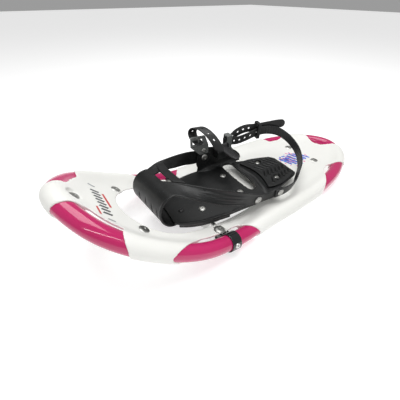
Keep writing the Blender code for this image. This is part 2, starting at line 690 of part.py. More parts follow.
def make_toe_cap(mat, parent):
    """A sheet that comes forward under the floor, curls up over the toes and goes back as two arms."""
    flange_z = FLOOR_Z - GAP - SHEET / 2
    curl = [(0.022, flange_z), (0.038, flange_z)]
    centre_z = flange_z + CURL_HIGH
    for i in range(13):
        turn = math.radians(-84 + 184 * i / 12)
        curl.append((CURL_V + CURL_DEEP * math.cos(turn), centre_z + CURL_HIGH * math.sin(turn)))
    verts = []
    for i, (v, z) in enumerate(curl):
        before = Vector(curl[max(i - 1, 0)])
        after = Vector(curl[min(i + 1, len(curl) - 1)])
        along = (after - before).normalized()
        normal = Vector((along.y, -along.x)) * SHEET / 2
        half = 0.036 if i > 1 else 0.028
        skew = CURL_SKEW * min(1.0, i / 4)
        for u, flip in ((-half, -1), (half, -1), (half, 1), (-half, 1)):
            verts.append((u, v + skew * u + normal.x * flip, z + normal.y * flip))
    cap = add("toe_cap", verts, rings_to_faces(len(curl), 4), mat, parent, FOOT_MATRIX)
    near_top = [(0.002, 0.0525, 0.0831), (-0.006, 0.0430, 0.0836), (-0.020, 0.0290, 0.0842),
                (-0.0355, 0.0090, 0.0825), (-0.0500, -0.0130, 0.0795), (-0.0585, -0.0400, 0.0710),
                (-OUTER_U, -0.0640, 0.0590), (-OUTER_U, -0.0840, 0.0505)]
    near_low = [(-0.0355, 0.0465, 0.0829), (-0.0410, 0.0400, 0.0822), (-0.0475, 0.0320, 0.0805),
                (-0.0550, 0.0127, 0.0725), (-0.0598, -0.0160, 0.0585), (-0.0607, -0.0510, 0.0450),
                (-OUTER_U, -0.0660, 0.0395), (-OUTER_U, -0.0840, 0.0385)]
    far_top = [(0.0355, 0.0560, 0.0829), (0.0455, 0.0390, 0.0822), (0.0530, 0.0170, 0.0800),
               (0.0588, -0.0070, 0.0775), (OUTER_U, -0.0300, 0.0750), (OUTER_U, -0.0670, 0.0665)]
    far_low = [(0.0180, 0.0540, 0.0829), (0.0330, 0.0330, 0.0765), (0.0475, 0.0100, 0.0650),
               (0.0580, -0.0125, 0.0570), (OUTER_U, -0.0330, 0.0525), (OUTER_U, -0.0670, 0.0525)]
    bridge_front = [(0.0400, 0.0410, 0.0822), (0.0155, 0.0420, 0.0834), (-0.0090, 0.0370, 0.0834)]
    bridge_rear = [(0.0450, 0.0280, 0.0790), (0.0170, 0.0290, 0.0826), (-0.0200, 0.0225, 0.0830)]
    arms = [ribbon(near_top, near_low, SHEET, 15), ribbon(far_top, far_low, SHEET, 11),
            ribbon(bridge_front, bridge_rear, SHEET - GAP, 6)]
    for name, solid in zip(("cut_left_arm", "cut_right_arm", "cut_toe_bridge"), arms):
        boolean(cap, add(name, *solid, matrix=FOOT_MATRIX), 'UNION', 'MANIFOLD')
    drills = [side_drill(*SIDE_RIVETS["arm_rivet_l"]), side_drill(*SIDE_RIVETS["arm_rivet_r"])]
    drills += [drill(foot(u, v, FLOOR_Z), 0.012) for u, v in CAP_RIVETS.values()]
    boolean(cap, add("cut_cap_holes", *joined(*drills)), 'DIFFERENCE', 'MANIFOLD')


def make_binding_rivets(mat, parent):
    for name, (u, v) in FOREFOOT_RIVETS.items():
        profile = rivet_profile(0.0052, FLOOR_THICK + GAP + CRAMPON_SHEET, 0.0036)
        place = Matrix.Translation(foot(u, v, FLOOR_Z + FLOOR_THICK))
        add(name, *turned(profile, 10), mat, parent, place)
    for name, (u, v) in HEEL_RIVETS.items():
        profile = rivet_profile(0.0044, FLOOR_THICK + GAP + HEEL_SINK, 0.0036)
        place = Matrix.Translation(foot(u, v, FLOOR_Z + FLOOR_THICK + GAP + HEEL_SINK))
        add(name, *turned(profile, 10), mat, parent, place)
    for name, (u, v) in CAP_RIVETS.items():
        profile = rivet_profile(0.0042, FLOOR_THICK + GAP + SHEET, 0.0036)
        place = Matrix.Translation(foot(u, v, FLOOR_Z + FLOOR_THICK))
        add(name, *turned(profile, 10), mat, parent, place)
    arm = SHEET + 4 * GAP + SHEET
    strap_grip = STRAP_THICK + 3 * GAP + SHEET
    side_rivet("arm_rivet_l", arm, 0.0056, mat, parent)
    inside_rivet("arm_rivet_r", SIDE_RIVETS["arm_rivet_r"], 0.0, arm, 0.0056, mat, parent)
    side_rivet("heel_strap_rivet", strap_grip, 0.0056, mat, parent)
    side_rivet("buckle_rivet_rear", BUCKLE_PLATE + GAP + SHEET, 0.0042, mat, parent)


def side_rivet(name, grip, head, mat, parent):
    """A rivet through a side wall with its domed head on the outside."""
    u, v, z = SIDE_RIVETS[name]
    side = math.copysign(1, u)
    face = side * (WALL_U - SHEET / 2 + grip)
    outward = FOOT_MATRIX.to_3x3() @ Vector((side, 0, 0))
    add(name, *turned(rivet_profile(head, grip, 0.0040), 10), mat, parent, aimed(foot(face, v, z), outward))


# ---------------------------------------------------------------- straps and buckles

OUTER_U = 0.0604
STRAP_THICK = 0.0018
STRAP_WIDTH = 0.0155
BUCKLE_PLATE = 0.0024
BUCKLE_U = WALL_U + SHEET / 2 + GAP

# Middle line of the heel strap: round the heel, through the buckle, folded and back to its tip
HEEL_STRAP = [
    (-0.0598, -0.112, 0.0395), (-0.0600, -0.134, 0.0395), (-0.0550, -0.156, 0.0400),
    (-0.0395, -0.180, 0.0415), (-0.0205, -0.205, 0.0445), (0.0060, -0.2240, 0.0510),
    (0.0300, -0.2240, 0.0630), (0.0460, -0.2090, 0.0755), (0.0560, -0.1880, 0.0805),
    (0.0612, -0.1680, 0.0790), (0.0632, -0.1450, 0.0735), (0.0636, -0.1250, 0.0715),
    (0.0636, -0.1080, 0.0742), (0.0638, -0.0980, 0.0745), (0.0657, -0.0945, 0.0745),
    (0.0677, -0.0980, 0.0745), (0.0679, -0.1080, 0.0757), (0.0705, -0.1250, 0.0830),
    (0.0700, -0.1450, 0.0868), (0.0664, -0.1680, 0.0855), (0.0615, -0.1890, 0.0870),
    (0.0555, -0.2060, 0.0890), (0.0480, -0.2200, 0.0900),
]
HEEL_ACROSS = [
    (0, 0, 1), (0, 0, 1), (-0.1, -0.1, 1), (-0.2, -0.2, 1), (-0.15, -0.3, 1), (0, -0.3, 1), (0.1, -0.3, 1),
    (0.2, -0.2, 1), (0.1, -0.1, 1), (0, 0, 1), (0, 0.1, 1), (0, 0, 1), (0, 0, 1), (0, 0, 1), (0, 0, 1),
    (0, 0, 1), (0, 0.1, 1), (0.1, 0.25, 1), (0.05, 0.1, 1), (0, 0.05, 1), (0.1, 0, 1), (0.1, 0, 1),
    (0.1, 0, 1),
]
INSTEP_STRAP = [
    (0.0440, -0.036, 0.0945), (0.0540, -0.036, 0.0948), (0.0660, -0.036, 0.0960),
    (0.0715, -0.036, 0.1040), (0.0660, -0.038, 0.1130), (0.0515, -0.0415, 0.1172),
    (0.0360, -0.047, 0.1125), (0.0250, -0.053, 0.1010), (0.0190, -0.058, 0.0880),
]
INSTEP_ACROSS = [(0, 1, 0)] * 4 + [(0.1, 1, 0), (0.25, 1, 0), (0.35, 1, 0), (0.35, 1, 0), (0.35, 1, 0)]
KEEPER = (0.0638, -0.168, 0.0817)
FOLD_U = 0.0657


def make_heel_strap(black, grey, parent):
    strap_solid = strap(HEEL_STRAP, HEEL_ACROSS, STRAP_WIDTH, STRAP_THICK, 52)
    band = add("heel_strap", *strap_solid, black, parent, FOOT_MATRIX)
    u, v, z = SIDE_RIVETS["heel_strap_rivet"]
    boolean(band, add("cut_strap_hole", *side_drill(u, v, z)), 'DIFFERENCE')
    low, high = BUCKLE_U, BUCKLE_U + 0.0135
    plate = [(-0.1270, 0.0390), (-0.1240, 0.0345), (-0.1170, 0.0345), (-0.1110, 0.0400),
             (-0.0985, 0.0650), (-0.1085, 0.0650)]
    verts, faces = side_plate(plate, low + BUCKLE_PLATE / 2, BUCKLE_PLATE)
    buckle = add("buckle_rear", verts, faces, grey, parent, FOOT_MATRIX)
    loop = box((low, -0.1085, 0.0640), (high, -0.0985, 0.0868))
    boolean(buckle, add("cut_rear_loop", *loop, matrix=FOOT_MATRIX), 'UNION')
    hole = box((low + BUCKLE_PLATE, -0.13, 0.0660), (high - 0.0022, -0.09, 0.0847))
    boolean(buckle, add("cut_rear_loop_hole", *hole, matrix=FOOT_MATRIX), 'DIFFERENCE')
    bar = box((FOLD_U - 0.0006, -0.1070, 0.0650), (FOLD_U + 0.0006, -0.1004, 0.0856))
    boolean(buckle, add("cut_rear_loop_bar", *bar, matrix=FOOT_MATRIX), 'UNION')
    view = box((high - 0.004, -0.1060, 0.0690), (high + 0.004, -0.1010, 0.0800))
    boolean(buckle, add("cut_rear_loop_window", *view, matrix=FOOT_MATRIX), 'DIFFERENCE')
    boolean(buckle, add("cut_buckle_hole", *side_drill(*SIDE_RIVETS["buckle_rivet_rear"])), 'DIFFERENCE')


def make_keeper(mat, parent):
    """A ring round both layers of the heel strap."""
    lean = Matrix.Rotation(math.radians(-9), 4, 'Z')
    place = FOOT_MATRIX @ Matrix.Translation(KEEPER) @ lean
    ring = add("strap_keeper", *box((-0.0078, -0.0030, -0.0144), (0.0078, 0.0030, 0.0144)), mat, parent,
               place)
    hole = box((-0.0058, -0.01, -0.0128), (0.0058, 0.01, 0.0128))
    boolean(ring, add("cut_keeper_hole", *hole, matrix=place), 'DIFFERENCE')


def make_instep_strap(black, grey, parent):
    strap_solid = strap(INSTEP_STRAP, INSTEP_ACROSS, STRAP_WIDTH, STRAP_THICK, 22)
    add("instep_strap", *strap_solid, black, parent, FOOT_MATRIX)
    plate = [(-0.0565, 0.0700), (-0.0400, 0.0700), (-0.0235, 0.0870), (-0.0235, 0.1040),
             (-0.0500, 0.1020), (-0.0565, 0.0850)]
    inner = WALL_U - SHEET / 2 - GAP - BUCKLE_PLATE / 2
    frame = add("buckle_front", *side_plate(plate, inner, BUCKLE_PLATE), grey, parent, FOOT_MATRIX)
    window = side_plate([(-0.0450, 0.0905), (-0.0270, 0.0905), (-0.0270, 0.0985), (-0.0450, 0.0985)],
                        inner, 0.02)
    boolean(frame, add("cut_front_window", *window, matrix=FOOT_MATRIX), 'DIFFERENCE')
    boolean(frame, add("cut_front_hole", *side_drill(*FRONT_BUCKLE_RIVET)), 'DIFFERENCE')


FRONT_BUCKLE_RIVET = (WALL_U, -0.0475, 0.0766)


def inside_rivet(name, place, lift, grip, head, mat, parent):
    """A rivet through the right wall with its domed head on the inside."""
    u, v, z = place
    face = u - SHEET / 2 - lift
    inward = FOOT_MATRIX.to_3x3() @ Vector((-1, 0, 0))
    add(name, *turned(rivet_profile(head, grip, 0.0036), 10), mat, parent, aimed(foot(face, v, z), inward))


LEVER_PIN = (0.0500, -0.082, 0.0770)
LEVER_WIDTH = 0.0172


def make_ratchet(black, grey, steel, binding, lever_body):
    """A base on the wall, a pin and a ribbed lever that lies across the instep."""
    u, v, z = LEVER_PIN
    wall_face = WALL_U - SHEET / 2 - GAP
    base = add("ratchet_base", *box((0.0448, v - 0.0115, 0.0565), (wall_face, v + 0.0115, 0.0700)), grey,
               binding, FOOT_MATRIX)
    ears = [box((0.0458, v + side * 0.0103 - 0.0012, 0.0690), (0.0546, v + side * 0.0103 + 0.0012, 0.0812))
            for side in (-1, 1)]
    boolean(base, add("cut_ratchet_ears", *joined(*ears), matrix=FOOT_MATRIX), 'UNION')
    across = FOOT_MATRIX @ aimed(LEVER_PIN, (0, 1, 0))
    bore = turned([(0, -0.02), (0.0018, -0.02), (0.0018, 0.02), (0, 0.02)], 12)
    boolean(base, add("cut_base_bore", *bore, matrix=across), 'DIFFERENCE')
    add("lever_pin", *turned([(0, -0.0118), (0.0015, -0.0118), (0.0015, 0.0118), (0, 0.0118)], 12), steel,
        binding, across)
    half = LEVER_WIDTH / 2
    hub = turned([(0, -half), (0.0040, -half), (0.0040, half), (0, half)], 14)
    lever = add("ratchet_lever", *hub, black, lever_body, across)
    tab = [(u - 0.002, v - half), (u - 0.002, v + half), (u - 0.030, v + half)]
    for i in range(1, 8):
        turn = math.pi * i / 8
        tab.append((u - 0.030 - 0.014 * math.sin(turn), v + half * math.cos(turn)))
    tab.append((u - 0.030, v - half))
    boolean(lever, add("cut_lever_tab", *prism(tab, z - 0.0034, z + 0.0004), matrix=FOOT_MATRIX), 'UNION')
    ribs = []
    for i in range(7):
        start = u - 0.0125 - 0.0042 * i
        ribs.append(box((start - 0.0009, v - half + 0.0028, z - 0.001), (start + 0.0009, v + half - 0.0028,
                                                                        z + 0.0016)))
    boolean(lever, add("cut_lever_ribs", *joined(*ribs), matrix=FOOT_MATRIX), 'UNION')
    boolean(lever, add("cut_lever_bore", *bore, matrix=across), 'DIFFERENCE')


# ---------------------------------------------------------------- main

def main():
    clear_scene()
    pink = material("pink_tube", (0.62, 0.03, 0.19), 0.25)
    white = material("deck_white", (0.86, 0.86, 0.84), 0.45)
    black = material("binding_black", (0.03, 0.03, 0.032), 0.55)
    steel = material("steel", (0.55, 0.55, 0.54), 0.35, 1.0)
    grey = material("buckle_grey", (0.36, 0.37, 0.36), 0.45)
    add("frame_tube", *loop_sweep(TUBE_R), pink)
    make_deck(white)
    make_deck_rivets(steel)
    make_heel_crampon(steel)
    binding = empty("binding_pivot", (0, PIVOT_Y, AXLE_Z))
    make_pivot(steel, black, grey, binding)
    make_toe_crampon(steel, binding)
    make_footbed(black, binding)
    make_heel_pad(black, binding)
    make_toe_cap(black, binding)
    make_binding_rivets(steel, binding)
    inside_rivet("buckle_rivet_front", FRONT_BUCKLE_RIVET, BUCKLE_PLATE + GAP, BUCKLE_PLATE + GAP + SHEET,
                 0.0040, steel, binding)
    heel_swing = empty("heel_strap_swing", foot(*HEEL_SWING), binding)
    make_heel_strap(black, grey, heel_swing)
    make_keeper(black, empty("keeper_slide", foot(*KEEPER), heel_swing))
    make_instep_strap(black, grey, empty("instep_swivel", foot(*FRONT_BUCKLE_RIVET), binding))
    make_ratchet(black, grey, steel, binding, empty("lever_hinge", foot(*LEVER_PIN), binding))


main()
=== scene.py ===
"""Looks of the snowshoe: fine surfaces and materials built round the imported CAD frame.

Metres, +Z up, +Y towards the toe, +X to the wearer's right, as in the CAD model.
"""
from math import atan, copysign, cos, pi, radians, sin, sqrt

import bmesh
import bpy
import numpy as np
from mathutils import Matrix, Vector
from mathutils.bvhtree import BVHTree


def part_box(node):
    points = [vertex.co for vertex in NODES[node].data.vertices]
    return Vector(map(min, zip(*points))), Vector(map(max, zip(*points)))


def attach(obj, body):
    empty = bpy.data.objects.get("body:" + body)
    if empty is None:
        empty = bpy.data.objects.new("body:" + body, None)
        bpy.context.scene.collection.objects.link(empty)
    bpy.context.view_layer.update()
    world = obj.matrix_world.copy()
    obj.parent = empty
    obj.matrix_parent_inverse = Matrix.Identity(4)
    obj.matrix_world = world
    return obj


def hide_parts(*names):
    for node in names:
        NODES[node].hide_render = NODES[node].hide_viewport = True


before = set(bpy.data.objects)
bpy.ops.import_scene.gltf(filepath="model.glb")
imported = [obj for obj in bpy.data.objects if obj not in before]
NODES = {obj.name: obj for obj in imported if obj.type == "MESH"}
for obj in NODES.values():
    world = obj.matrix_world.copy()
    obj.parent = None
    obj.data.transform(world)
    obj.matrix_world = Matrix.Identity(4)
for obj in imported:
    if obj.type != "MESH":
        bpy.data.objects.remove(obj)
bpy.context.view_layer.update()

LENGTH = 0.560
NOSE_RISE = 0.106
RISE_START = 0.057
TUBE_R = 0.0112
WRAP_BORE = 0.0108
WRAP_OUT = 0.0130
DECK_LIFT = 0.0045
NOSE_LIFT = 0.004
DECK_THICK = 0.002
GAP = 0.0003
PIVOT_Y = 0.098
TOE_OUT = radians(6.5)
FLOOR_Z = 0.032
FLOOR_THICK = 0.003
SHEET = 0.0026
CRAMPON_SHEET = 0.0018
CLAMP_DEPTH = 0.0145
SCREW_RAISED = radians(18)
WALL_U = 0.0572
OUTER_U = 0.0604
BUCKLE_PLATE = 0.0024
STRAP_WIDTH = 0.0155
STRAP_THICK = 0.0018

FACET = cos(pi / 12)
TUBE_Z = 0.0135 * FACET
NOSE_END = LENGTH / 2 - 0.0135 * FACET
TAIL_END = TUBE_R * FACET - LENGTH / 2
PLAN = [
    (0.0, NOSE_END), (0.040, 0.2535), (0.065, 0.228), (0.081, 0.188), (0.090, 0.140),
    (0.0895, 0.085), (0.088, 0.02), (0.0890, -0.05), (0.0862, -0.115), (0.0765, -0.175),
    (0.056, -0.226), (0.031, -0.2565), (0.0, TAIL_END),
]


# ---------------- shapes

def ease(t):
    t = min(1.0, max(0.0, t))
    return t * t * (3 - 2 * t)


def catmull(four, t):
    a, b, c, d = four
    return 0.5 * (2 * b + (c - a) * t + (2 * a - 5 * b + 4 * c - d) * t * t
                  + (3 * b - a - 3 * c + d) * t ** 3)


def evenly(fine, count):
    lengths = np.cumsum([0.0] + [(q - p).length for p, q in zip(fine, fine[1:])])
    wanted = np.linspace(0, lengths[-1], count)
    axes = [np.interp(wanted, lengths, [p[k] for p in fine]) for k in range(3)]
    return [Vector(p) for p in zip(*axes)]


def heading(path, i):
    """The direction of a path at one of its points."""
    return (path[min(i + 1, len(path) - 1)] - path[max(i - 1, 0)]).normalized()


def circle(count):
    """Cosines and sines at even steps round a circle."""
    turns = [2 * pi * j / count for j in range(count)]
    return [(cos(turn), sin(turn)) for turn in turns]


def smooth_path(points, count):
    pts = [Vector(p) for p in points]
    pts = [2 * pts[0] - pts[1]] + pts + [2 * pts[-1] - pts[-2]]
    fine = []
    for i in range(1, len(pts) - 2):
        fine += [catmull(pts[i - 1:i + 3], step / 24) for step in range(24)]
    fine.append(pts[-2])
    return evenly(fine, count)


def rounded(outline, times=2):
    """A closed outline with its corners cut again and again until they are round."""
    for _ in range(times):
        finer = []
        for p, q in zip(outline, outline[1:] + outline[:1]):
            finer.append((p[0] * 0.75 + q[0] * 0.25, p[1] * 0.75 + q[1] * 0.25))
            finer.append((p[0] * 0.25 + q[0] * 0.75, p[1] * 0.25 + q[1] * 0.75))
        outline = finer
    return outline


def ring_faces(rings, sides, closed=False):
    faces = []
    spans = rings if closed else rings - 1
    for i in range(spans):
        a = i * sides
        b = (i + 1) % rings * sides
        for j in range(sides):
            k = (j + 1) % sides
            faces.append((a + j, a + k, b + k, b + j))
    if not closed:
        faces.append(tuple(reversed(range(sides))))
        faces.append(tuple(range((rings - 1) * sides, rings * sides)))
    return faces


def turned(profile, segments, lobes=None):
    """A solid turned about Z; lobes maps a profile index to (count, depth) of a wavy ring."""
    inner = profile[1:-1]
    verts = [(0, 0, profile[0][1])]
    for i, (radius, z) in enumerate(inner):
        count, depth = (lobes or {}).get(i + 1, (0, 0.0))
        for j, (c, s) in enumerate(circle(segments)):
            r = radius * (1 + depth * cos(count * (2 * pi * j / segments)))
            verts.append((r * c, r * s, z))
    verts.append((0, 0, profile[-1][1]))
    last = len(verts) - 1
    faces = []
    for j in range(segments):
        k = (j + 1) % segments
        faces.append((0, 1 + j, 1 + k))
        faces.append((last, last - segments + k, last - segments + j))
        for i in range(len(inner) - 1):
            a = 1 + i * segments
            b = a + segments
            faces.append((a + j, b + j, b + k, a + k))
    return verts, faces


def prism(outline, low, high):
    verts = [(x, y, low) for x, y in outline] + [(x, y, high) for x, y in outline]
    return verts, ring_faces(2, len(outline))


def box(low, high):
    outline = [(low[0], low[1]), (high[0], low[1]), (high[0], high[1]), (low[0], high[1])]
    return prism(outline, low[2], high[2])


def side_plate(outline, middle, thick):
    verts = [(middle - thick / 2, y, z) for y, z in outline]
    verts += [(middle + thick / 2, y, z) for y, z in outline]
    return verts, ring_faces(2, len(outline))


def ribbon(edge_a, edge_b, thick, count, across=8):
    """A sheet of even thickness between two smooth edges."""
    side_a = smooth_path(edge_a, count)
    side_b = smooth_path(edge_b, count)
    verts = []
    for i in range(count):
        along = heading(side_a, i) + heading(side_b, i)
        normal = along.cross(side_b[i] - side_a[i]).normalized() * thick / 2
        ring = [side_a[i].lerp(side_b[i], j / across) - normal for j in range(across + 1)]
        ring += [side_a[i].lerp(side_b[i], j / across) + normal for j in range(across, -1, -1)]
        verts += ring
    return verts, ring_faces(count, 2 * (across + 1))


def rod(points, radius, count=40, sides=8, ends=1.0):
    """A round bead along a smooth curve; ends is its size at both ends."""
    path = smooth_path(points, count)
    verts = []
    for i, centre in enumerate(path):
        along = heading(path, i)
        first = along.cross(Vector((0.3, 0.2, 1))).normalized()
        second = along.cross(first)
        t = i / (count - 1)
        size = radius * (ends + (1 - ends) * ease(min(t, 1 - t) * 5))
        verts += [centre + size * (first * c + second * s) for c, s in circle(sides)]
    return verts, ring_faces(count, sides)


def moved(solid, matrix):
    verts, faces = solid
    return [matrix @ Vector(v) for v in verts], faces


def signed_volume(verts, faces):
    pts = np.array([tuple(v) for v in verts])
    total = 0.0
    for face in faces:
        a = pts[face[0]]
        for second, third in zip(face[1:], face[2:]):
            total += np.dot(a, np.cross(pts[second], pts[third]))
    return total


def joined(*solids):
    verts = []
    faces = []
    for part_verts, part_faces in solids:
        start = len(verts)
        step = 1 if signed_volume(part_verts, part_faces) > 0 else -1
        verts += list(part_verts)
        faces += [tuple(start + i for i in face[::step]) for face in part_faces]
    return verts, faces


def aimed(place, direction, roll_to=(0, 0, 1)):
    z = Vector(direction).normalized()
    x = Vector(roll_to).cross(z)
    if x.length < 1e-4:
        x = Vector((1, 0, 0)).cross(z)
    x.normalize()
    turn = Matrix((x, z.cross(x), z)).transposed().to_4x4()
    return Matrix.Translation(place) @ turn


def linked(name, data):
    """A new object in the scene."""
    obj = bpy.data.objects.new(name, data)
    bpy.context.scene.collection.objects.link(obj)
    return obj


def make_object(name, solid, matrix=None):
    verts, faces = joined(solid)
    mesh = bpy.data.meshes.new(name)
    mesh.from_pydata([tuple(v) for v in verts], [], faces)
    if matrix is not None:
        mesh.transform(matrix)
    return linked(name, mesh)


def bake(obj):
    """Apply the modifiers to the mesh."""
    bpy.context.view_layer.update()
    seen = obj.evaluated_get(bpy.context.evaluated_depsgraph_get())
    mesh = bpy.data.meshes.new_from_object(seen)
    obj.modifiers.clear()
    old = obj.data
    obj.data = mesh
    bpy.data.meshes.remove(old)
    mesh.name = obj.name


def cut(obj, *solids, matrix=None):
    tools = []
    for solid in solids:
        tool = make_object("cutter", solid, matrix)
        step = obj.modifiers.new("cut", 'BOOLEAN')
        step.operation = 'DIFFERENCE'
        step.solver = 'MANIFOLD'
        step.object = tool
        tools.append(tool)
    bake(obj)
    for tool in tools:
        bpy.data.objects.remove(tool, do_unlink=True)


def skin(obj, voxel, smooth=6, keep=0.35):
    """One smooth moulded skin round the solids, with its edges softened."""
    step = obj.modifiers.new("skin", 'REMESH')
    step.mode = 'VOXEL'
    step.voxel_size = voxel
    step.use_smooth_shade = True
    relax = obj.modifiers.new("relax", 'SMOOTH')
    relax.factor = 0.5
    relax.iterations = smooth
    if keep < 1:
        thin = obj.modifiers.new("thin", 'DECIMATE')
        thin.ratio = keep
    bake(obj)


def finish_piece(obj, mat, body, slot, *nodes, sharp=None):
    obj.data.materials.clear()
    obj.data.materials.append(mat)
    obj.data.shade_smooth()
    if sharp:
        obj.data.set_sharp_from_angle(angle=radians(sharp))
    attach(obj, body)
    if nodes:
        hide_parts(*nodes)


def softened(node, name, voxel, smooth, keep, extra=None):
    """A copy of a CAD node's mesh with softened edges, and with extra solids on it."""
    work = bmesh.new()
    work.from_mesh(NODES[node].data)
    bmesh.ops.remove_doubles(work, verts=work.verts, dist=0.00001)
    mesh = bpy.data.meshes.new(name)
    work.to_mesh(mesh)
    work.free()
    obj = linked(name, mesh)
    if extra is not None:
        add_to(obj, extra)
    skin(obj, voxel, smooth, keep)
    return obj


def add_to(obj, solid):
    verts, faces = joined(solid)
    work = bmesh.new()
    work.from_mesh(obj.data)
    new = [work.verts.new(v) for v in verts]
    for face in faces:
        work.faces.new([new[i] for i in face])
    work.to_mesh(obj.data)
    work.free()


# ---------------- materials

def set_inputs(node, values):
    for name, value in values.items():
        node.inputs[name].default_value = value


def new_material(name):
    mat = bpy.data.materials.new(name)
    mat.use_nodes = True
    tree = mat.node_tree
    coords = tree.nodes.new("ShaderNodeTexCoord")
    return mat, tree, tree.nodes["Principled BSDF"], coords.outputs["Object"]


def noise(tree, coords, scale, detail=3.0, stretch=None):
    if stretch:
        mapping = tree.nodes.new("ShaderNodeMapping")
        set_inputs(mapping, {"Scale": stretch})
        tree.links.new(coords, mapping.inputs["Vector"])
        coords = mapping.outputs["Vector"]
    node = tree.nodes.new("ShaderNodeTexNoise")
    set_inputs(node, {"Scale": scale, "Detail": detail})
    tree.links.new(coords, node.inputs["Vector"])
    return node.outputs["Fac"]


def remap(tree, value, low, high, to_low, to_high):
    node = tree.nodes.new("ShaderNodeMapRange")
    set_inputs(node, {"From Min": low, "From Max": high, "To Min": to_low, "To Max": to_high})
    tree.links.new(value, node.inputs["Value"])
    return node.outputs["Result"]


def blend_colours(tree, factor, first, second):
    node = tree.nodes.new("ShaderNodeMix")
    node.data_type = 'RGBA'
    tree.links.new(factor, node.inputs["Factor"])
    for socket, colour in ((node.inputs[6], first), (node.inputs[7], second)):
        if isinstance(colour, tuple):
            socket.default_value = (*colour, 1)
        else:
            tree.links.new(colour, socket)
    return node.outputs[2]


def add_bumps(tree, shader, layers):
    normal = None
    for height, strength, distance in layers:
        node = tree.nodes.new("ShaderNodeBump")
        set_inputs(node, {"Strength": strength, "Distance": distance})
        tree.links.new(height, node.inputs["Height"])
        if normal is not None:
            tree.links.new(normal, node.inputs["Normal"])
        normal = node.outputs["Normal"]
    tree.links.new(normal, shader.inputs["Normal"])


def surface(name, dark, light, rough, grain, grain_depth, mottle=14.0, metal=0.0, coat=0.0,
            specular=0.5, worn=None, flecks=None, stretch=None):
    """Two tones mottled together, uneven gloss, a fine grain, and optional worn edges and flecks."""
    mat, tree, shader, coords = new_material(name)
    cloud = noise(tree, coords, mottle, 5.0)
    colour = blend_colours(tree, remap(tree, cloud, 0.3, 0.7, 0, 1), dark, light)
    if worn:
        geometry = tree.nodes.new("ShaderNodeNewGeometry")
        edge = remap(tree, geometry.outputs["Pointiness"], 0.53, 0.60, 0, 0.5)
        colour = blend_colours(tree, edge, colour, worn)
    if flecks:
        dust = noise(tree, coords, 620.0, 2.0)
        colour = blend_colours(tree, remap(tree, dust, 0.66, 0.76, 0, 0.55), colour, flecks)
    tree.links.new(colour, shader.inputs["Base Color"])
    gloss = noise(tree, coords, mottle * 3.1, 4.0, stretch)
    tree.links.new(remap(tree, gloss, 0.3, 0.7, rough[0], rough[1]), shader.inputs["Roughness"])
    set_inputs(shader, {"Metallic": metal, "Coat Weight": coat, "Coat Roughness": 0.06,
                        "Specular IOR Level": specular})
    fine = noise(tree, coords, grain, 3.0, stretch)
    broad = noise(tree, coords, grain / 9, 3.0)
    add_bumps(tree, shader, [(broad, 0.12, grain_depth * 3), (fine, 0.35, grain_depth)])
    return mat


def ink(tone, dark, light):
    return surface("ink_" + tone, dark, light, (0.35, 0.45), 900, 0.00002, mottle=150)


PINK = surface("pink_paint", (0.47, 0.012, 0.105), (0.54, 0.020, 0.135), (0.12, 0.22), 700, 0.00003,
               mottle=18, coat=0.6, worn=(0.62, 0.06, 0.2), specular=0.35)
WHITE = surface("deck_sheet", (0.80, 0.80, 0.762), (0.85, 0.85, 0.817), (0.34, 0.48), 900, 0.00005,
                mottle=9, worn=(0.88, 0.88, 0.87))
RUBBER = surface("binding_rubber", (0.005, 0.0055, 0.0055), (0.011, 0.0115, 0.0115), (0.33, 0.47), 1300,
                 0.00010, mottle=24, worn=(0.05, 0.05, 0.048), flecks=(0.07, 0.08, 0.09), specular=0.35)
STRAP = surface("strap_rubber", (0.010, 0.011, 0.0115), (0.020, 0.021, 0.021), (0.36, 0.50), 1500,
                0.00008, mottle=40, worn=(0.06, 0.06, 0.06), specular=0.35)
LEVER = surface("lever_plastic", (0.007, 0.007, 0.008), (0.014, 0.014, 0.015), (0.28, 0.40), 1500,
                0.00006, mottle=60, worn=(0.06, 0.06, 0.06), specular=0.35)
GREY = surface("buckle_plastic", (0.10, 0.108, 0.105), (0.16, 0.17, 0.165), (0.26, 0.40), 1400,
               0.00006, mottle=60, worn=(0.40, 0.41, 0.40))
STEEL = surface("steel", (0.50, 0.50, 0.48), (0.66, 0.66, 0.64), (0.24, 0.40), 1100, 0.00004,
                mottle=120, metal=1.0, worn=(0.8, 0.8, 0.78), stretch=(1.0, 0.15, 1.0))
RIVET = surface("rivet_steel", (0.32, 0.32, 0.30), (0.46, 0.46, 0.44), (0.30, 0.44), 1300, 0.00006,
                mottle=160, metal=1.0, worn=(0.8, 0.8, 0.78))
CLAMP = surface("clamp_gloss", (0.007, 0.007, 0.008), (0.013, 0.013, 0.014), (0.08, 0.18), 900,
                0.00004, mottle=40, coat=0.4, worn=(0.05, 0.05, 0.05))
BUSH = surface("bush_plastic", (0.30, 0.30, 0.29), (0.38, 0.38, 0.37), (0.40, 0.5), 900, 0.00005)
INK_DARK = ink("dark", (0.05, 0.05, 0.055), (0.10, 0.10, 0.11))
INK_GREY = ink("grey", (0.30, 0.31, 0.32), (0.42, 0.43, 0.44))
INK_RED = ink("red", (0.50, 0.03, 0.03), (0.65, 0.07, 0.06))
INK_BLUE = ink("blue", (0.045, 0.12, 0.60), (0.12, 0.26, 0.78))
INK_PINK = ink("pink", (0.72, 0.10, 0.36), (0.85, 0.25, 0.50))


# ---------------- frame loop

def rise(y):
    return NOSE_RISE * max(0.0, (y - RISE_START) / (NOSE_END - RISE_START)) ** 2


def deck_surface(y):
    return TUBE_Z + DECK_LIFT + DECK_THICK + rise(y) + NOSE_LIFT * ease((y - 0.190) / 0.065)


def slope(y):
    return atan((deck_surface(y + 0.001) - deck_surface(y - 0.001)) / 0.002)


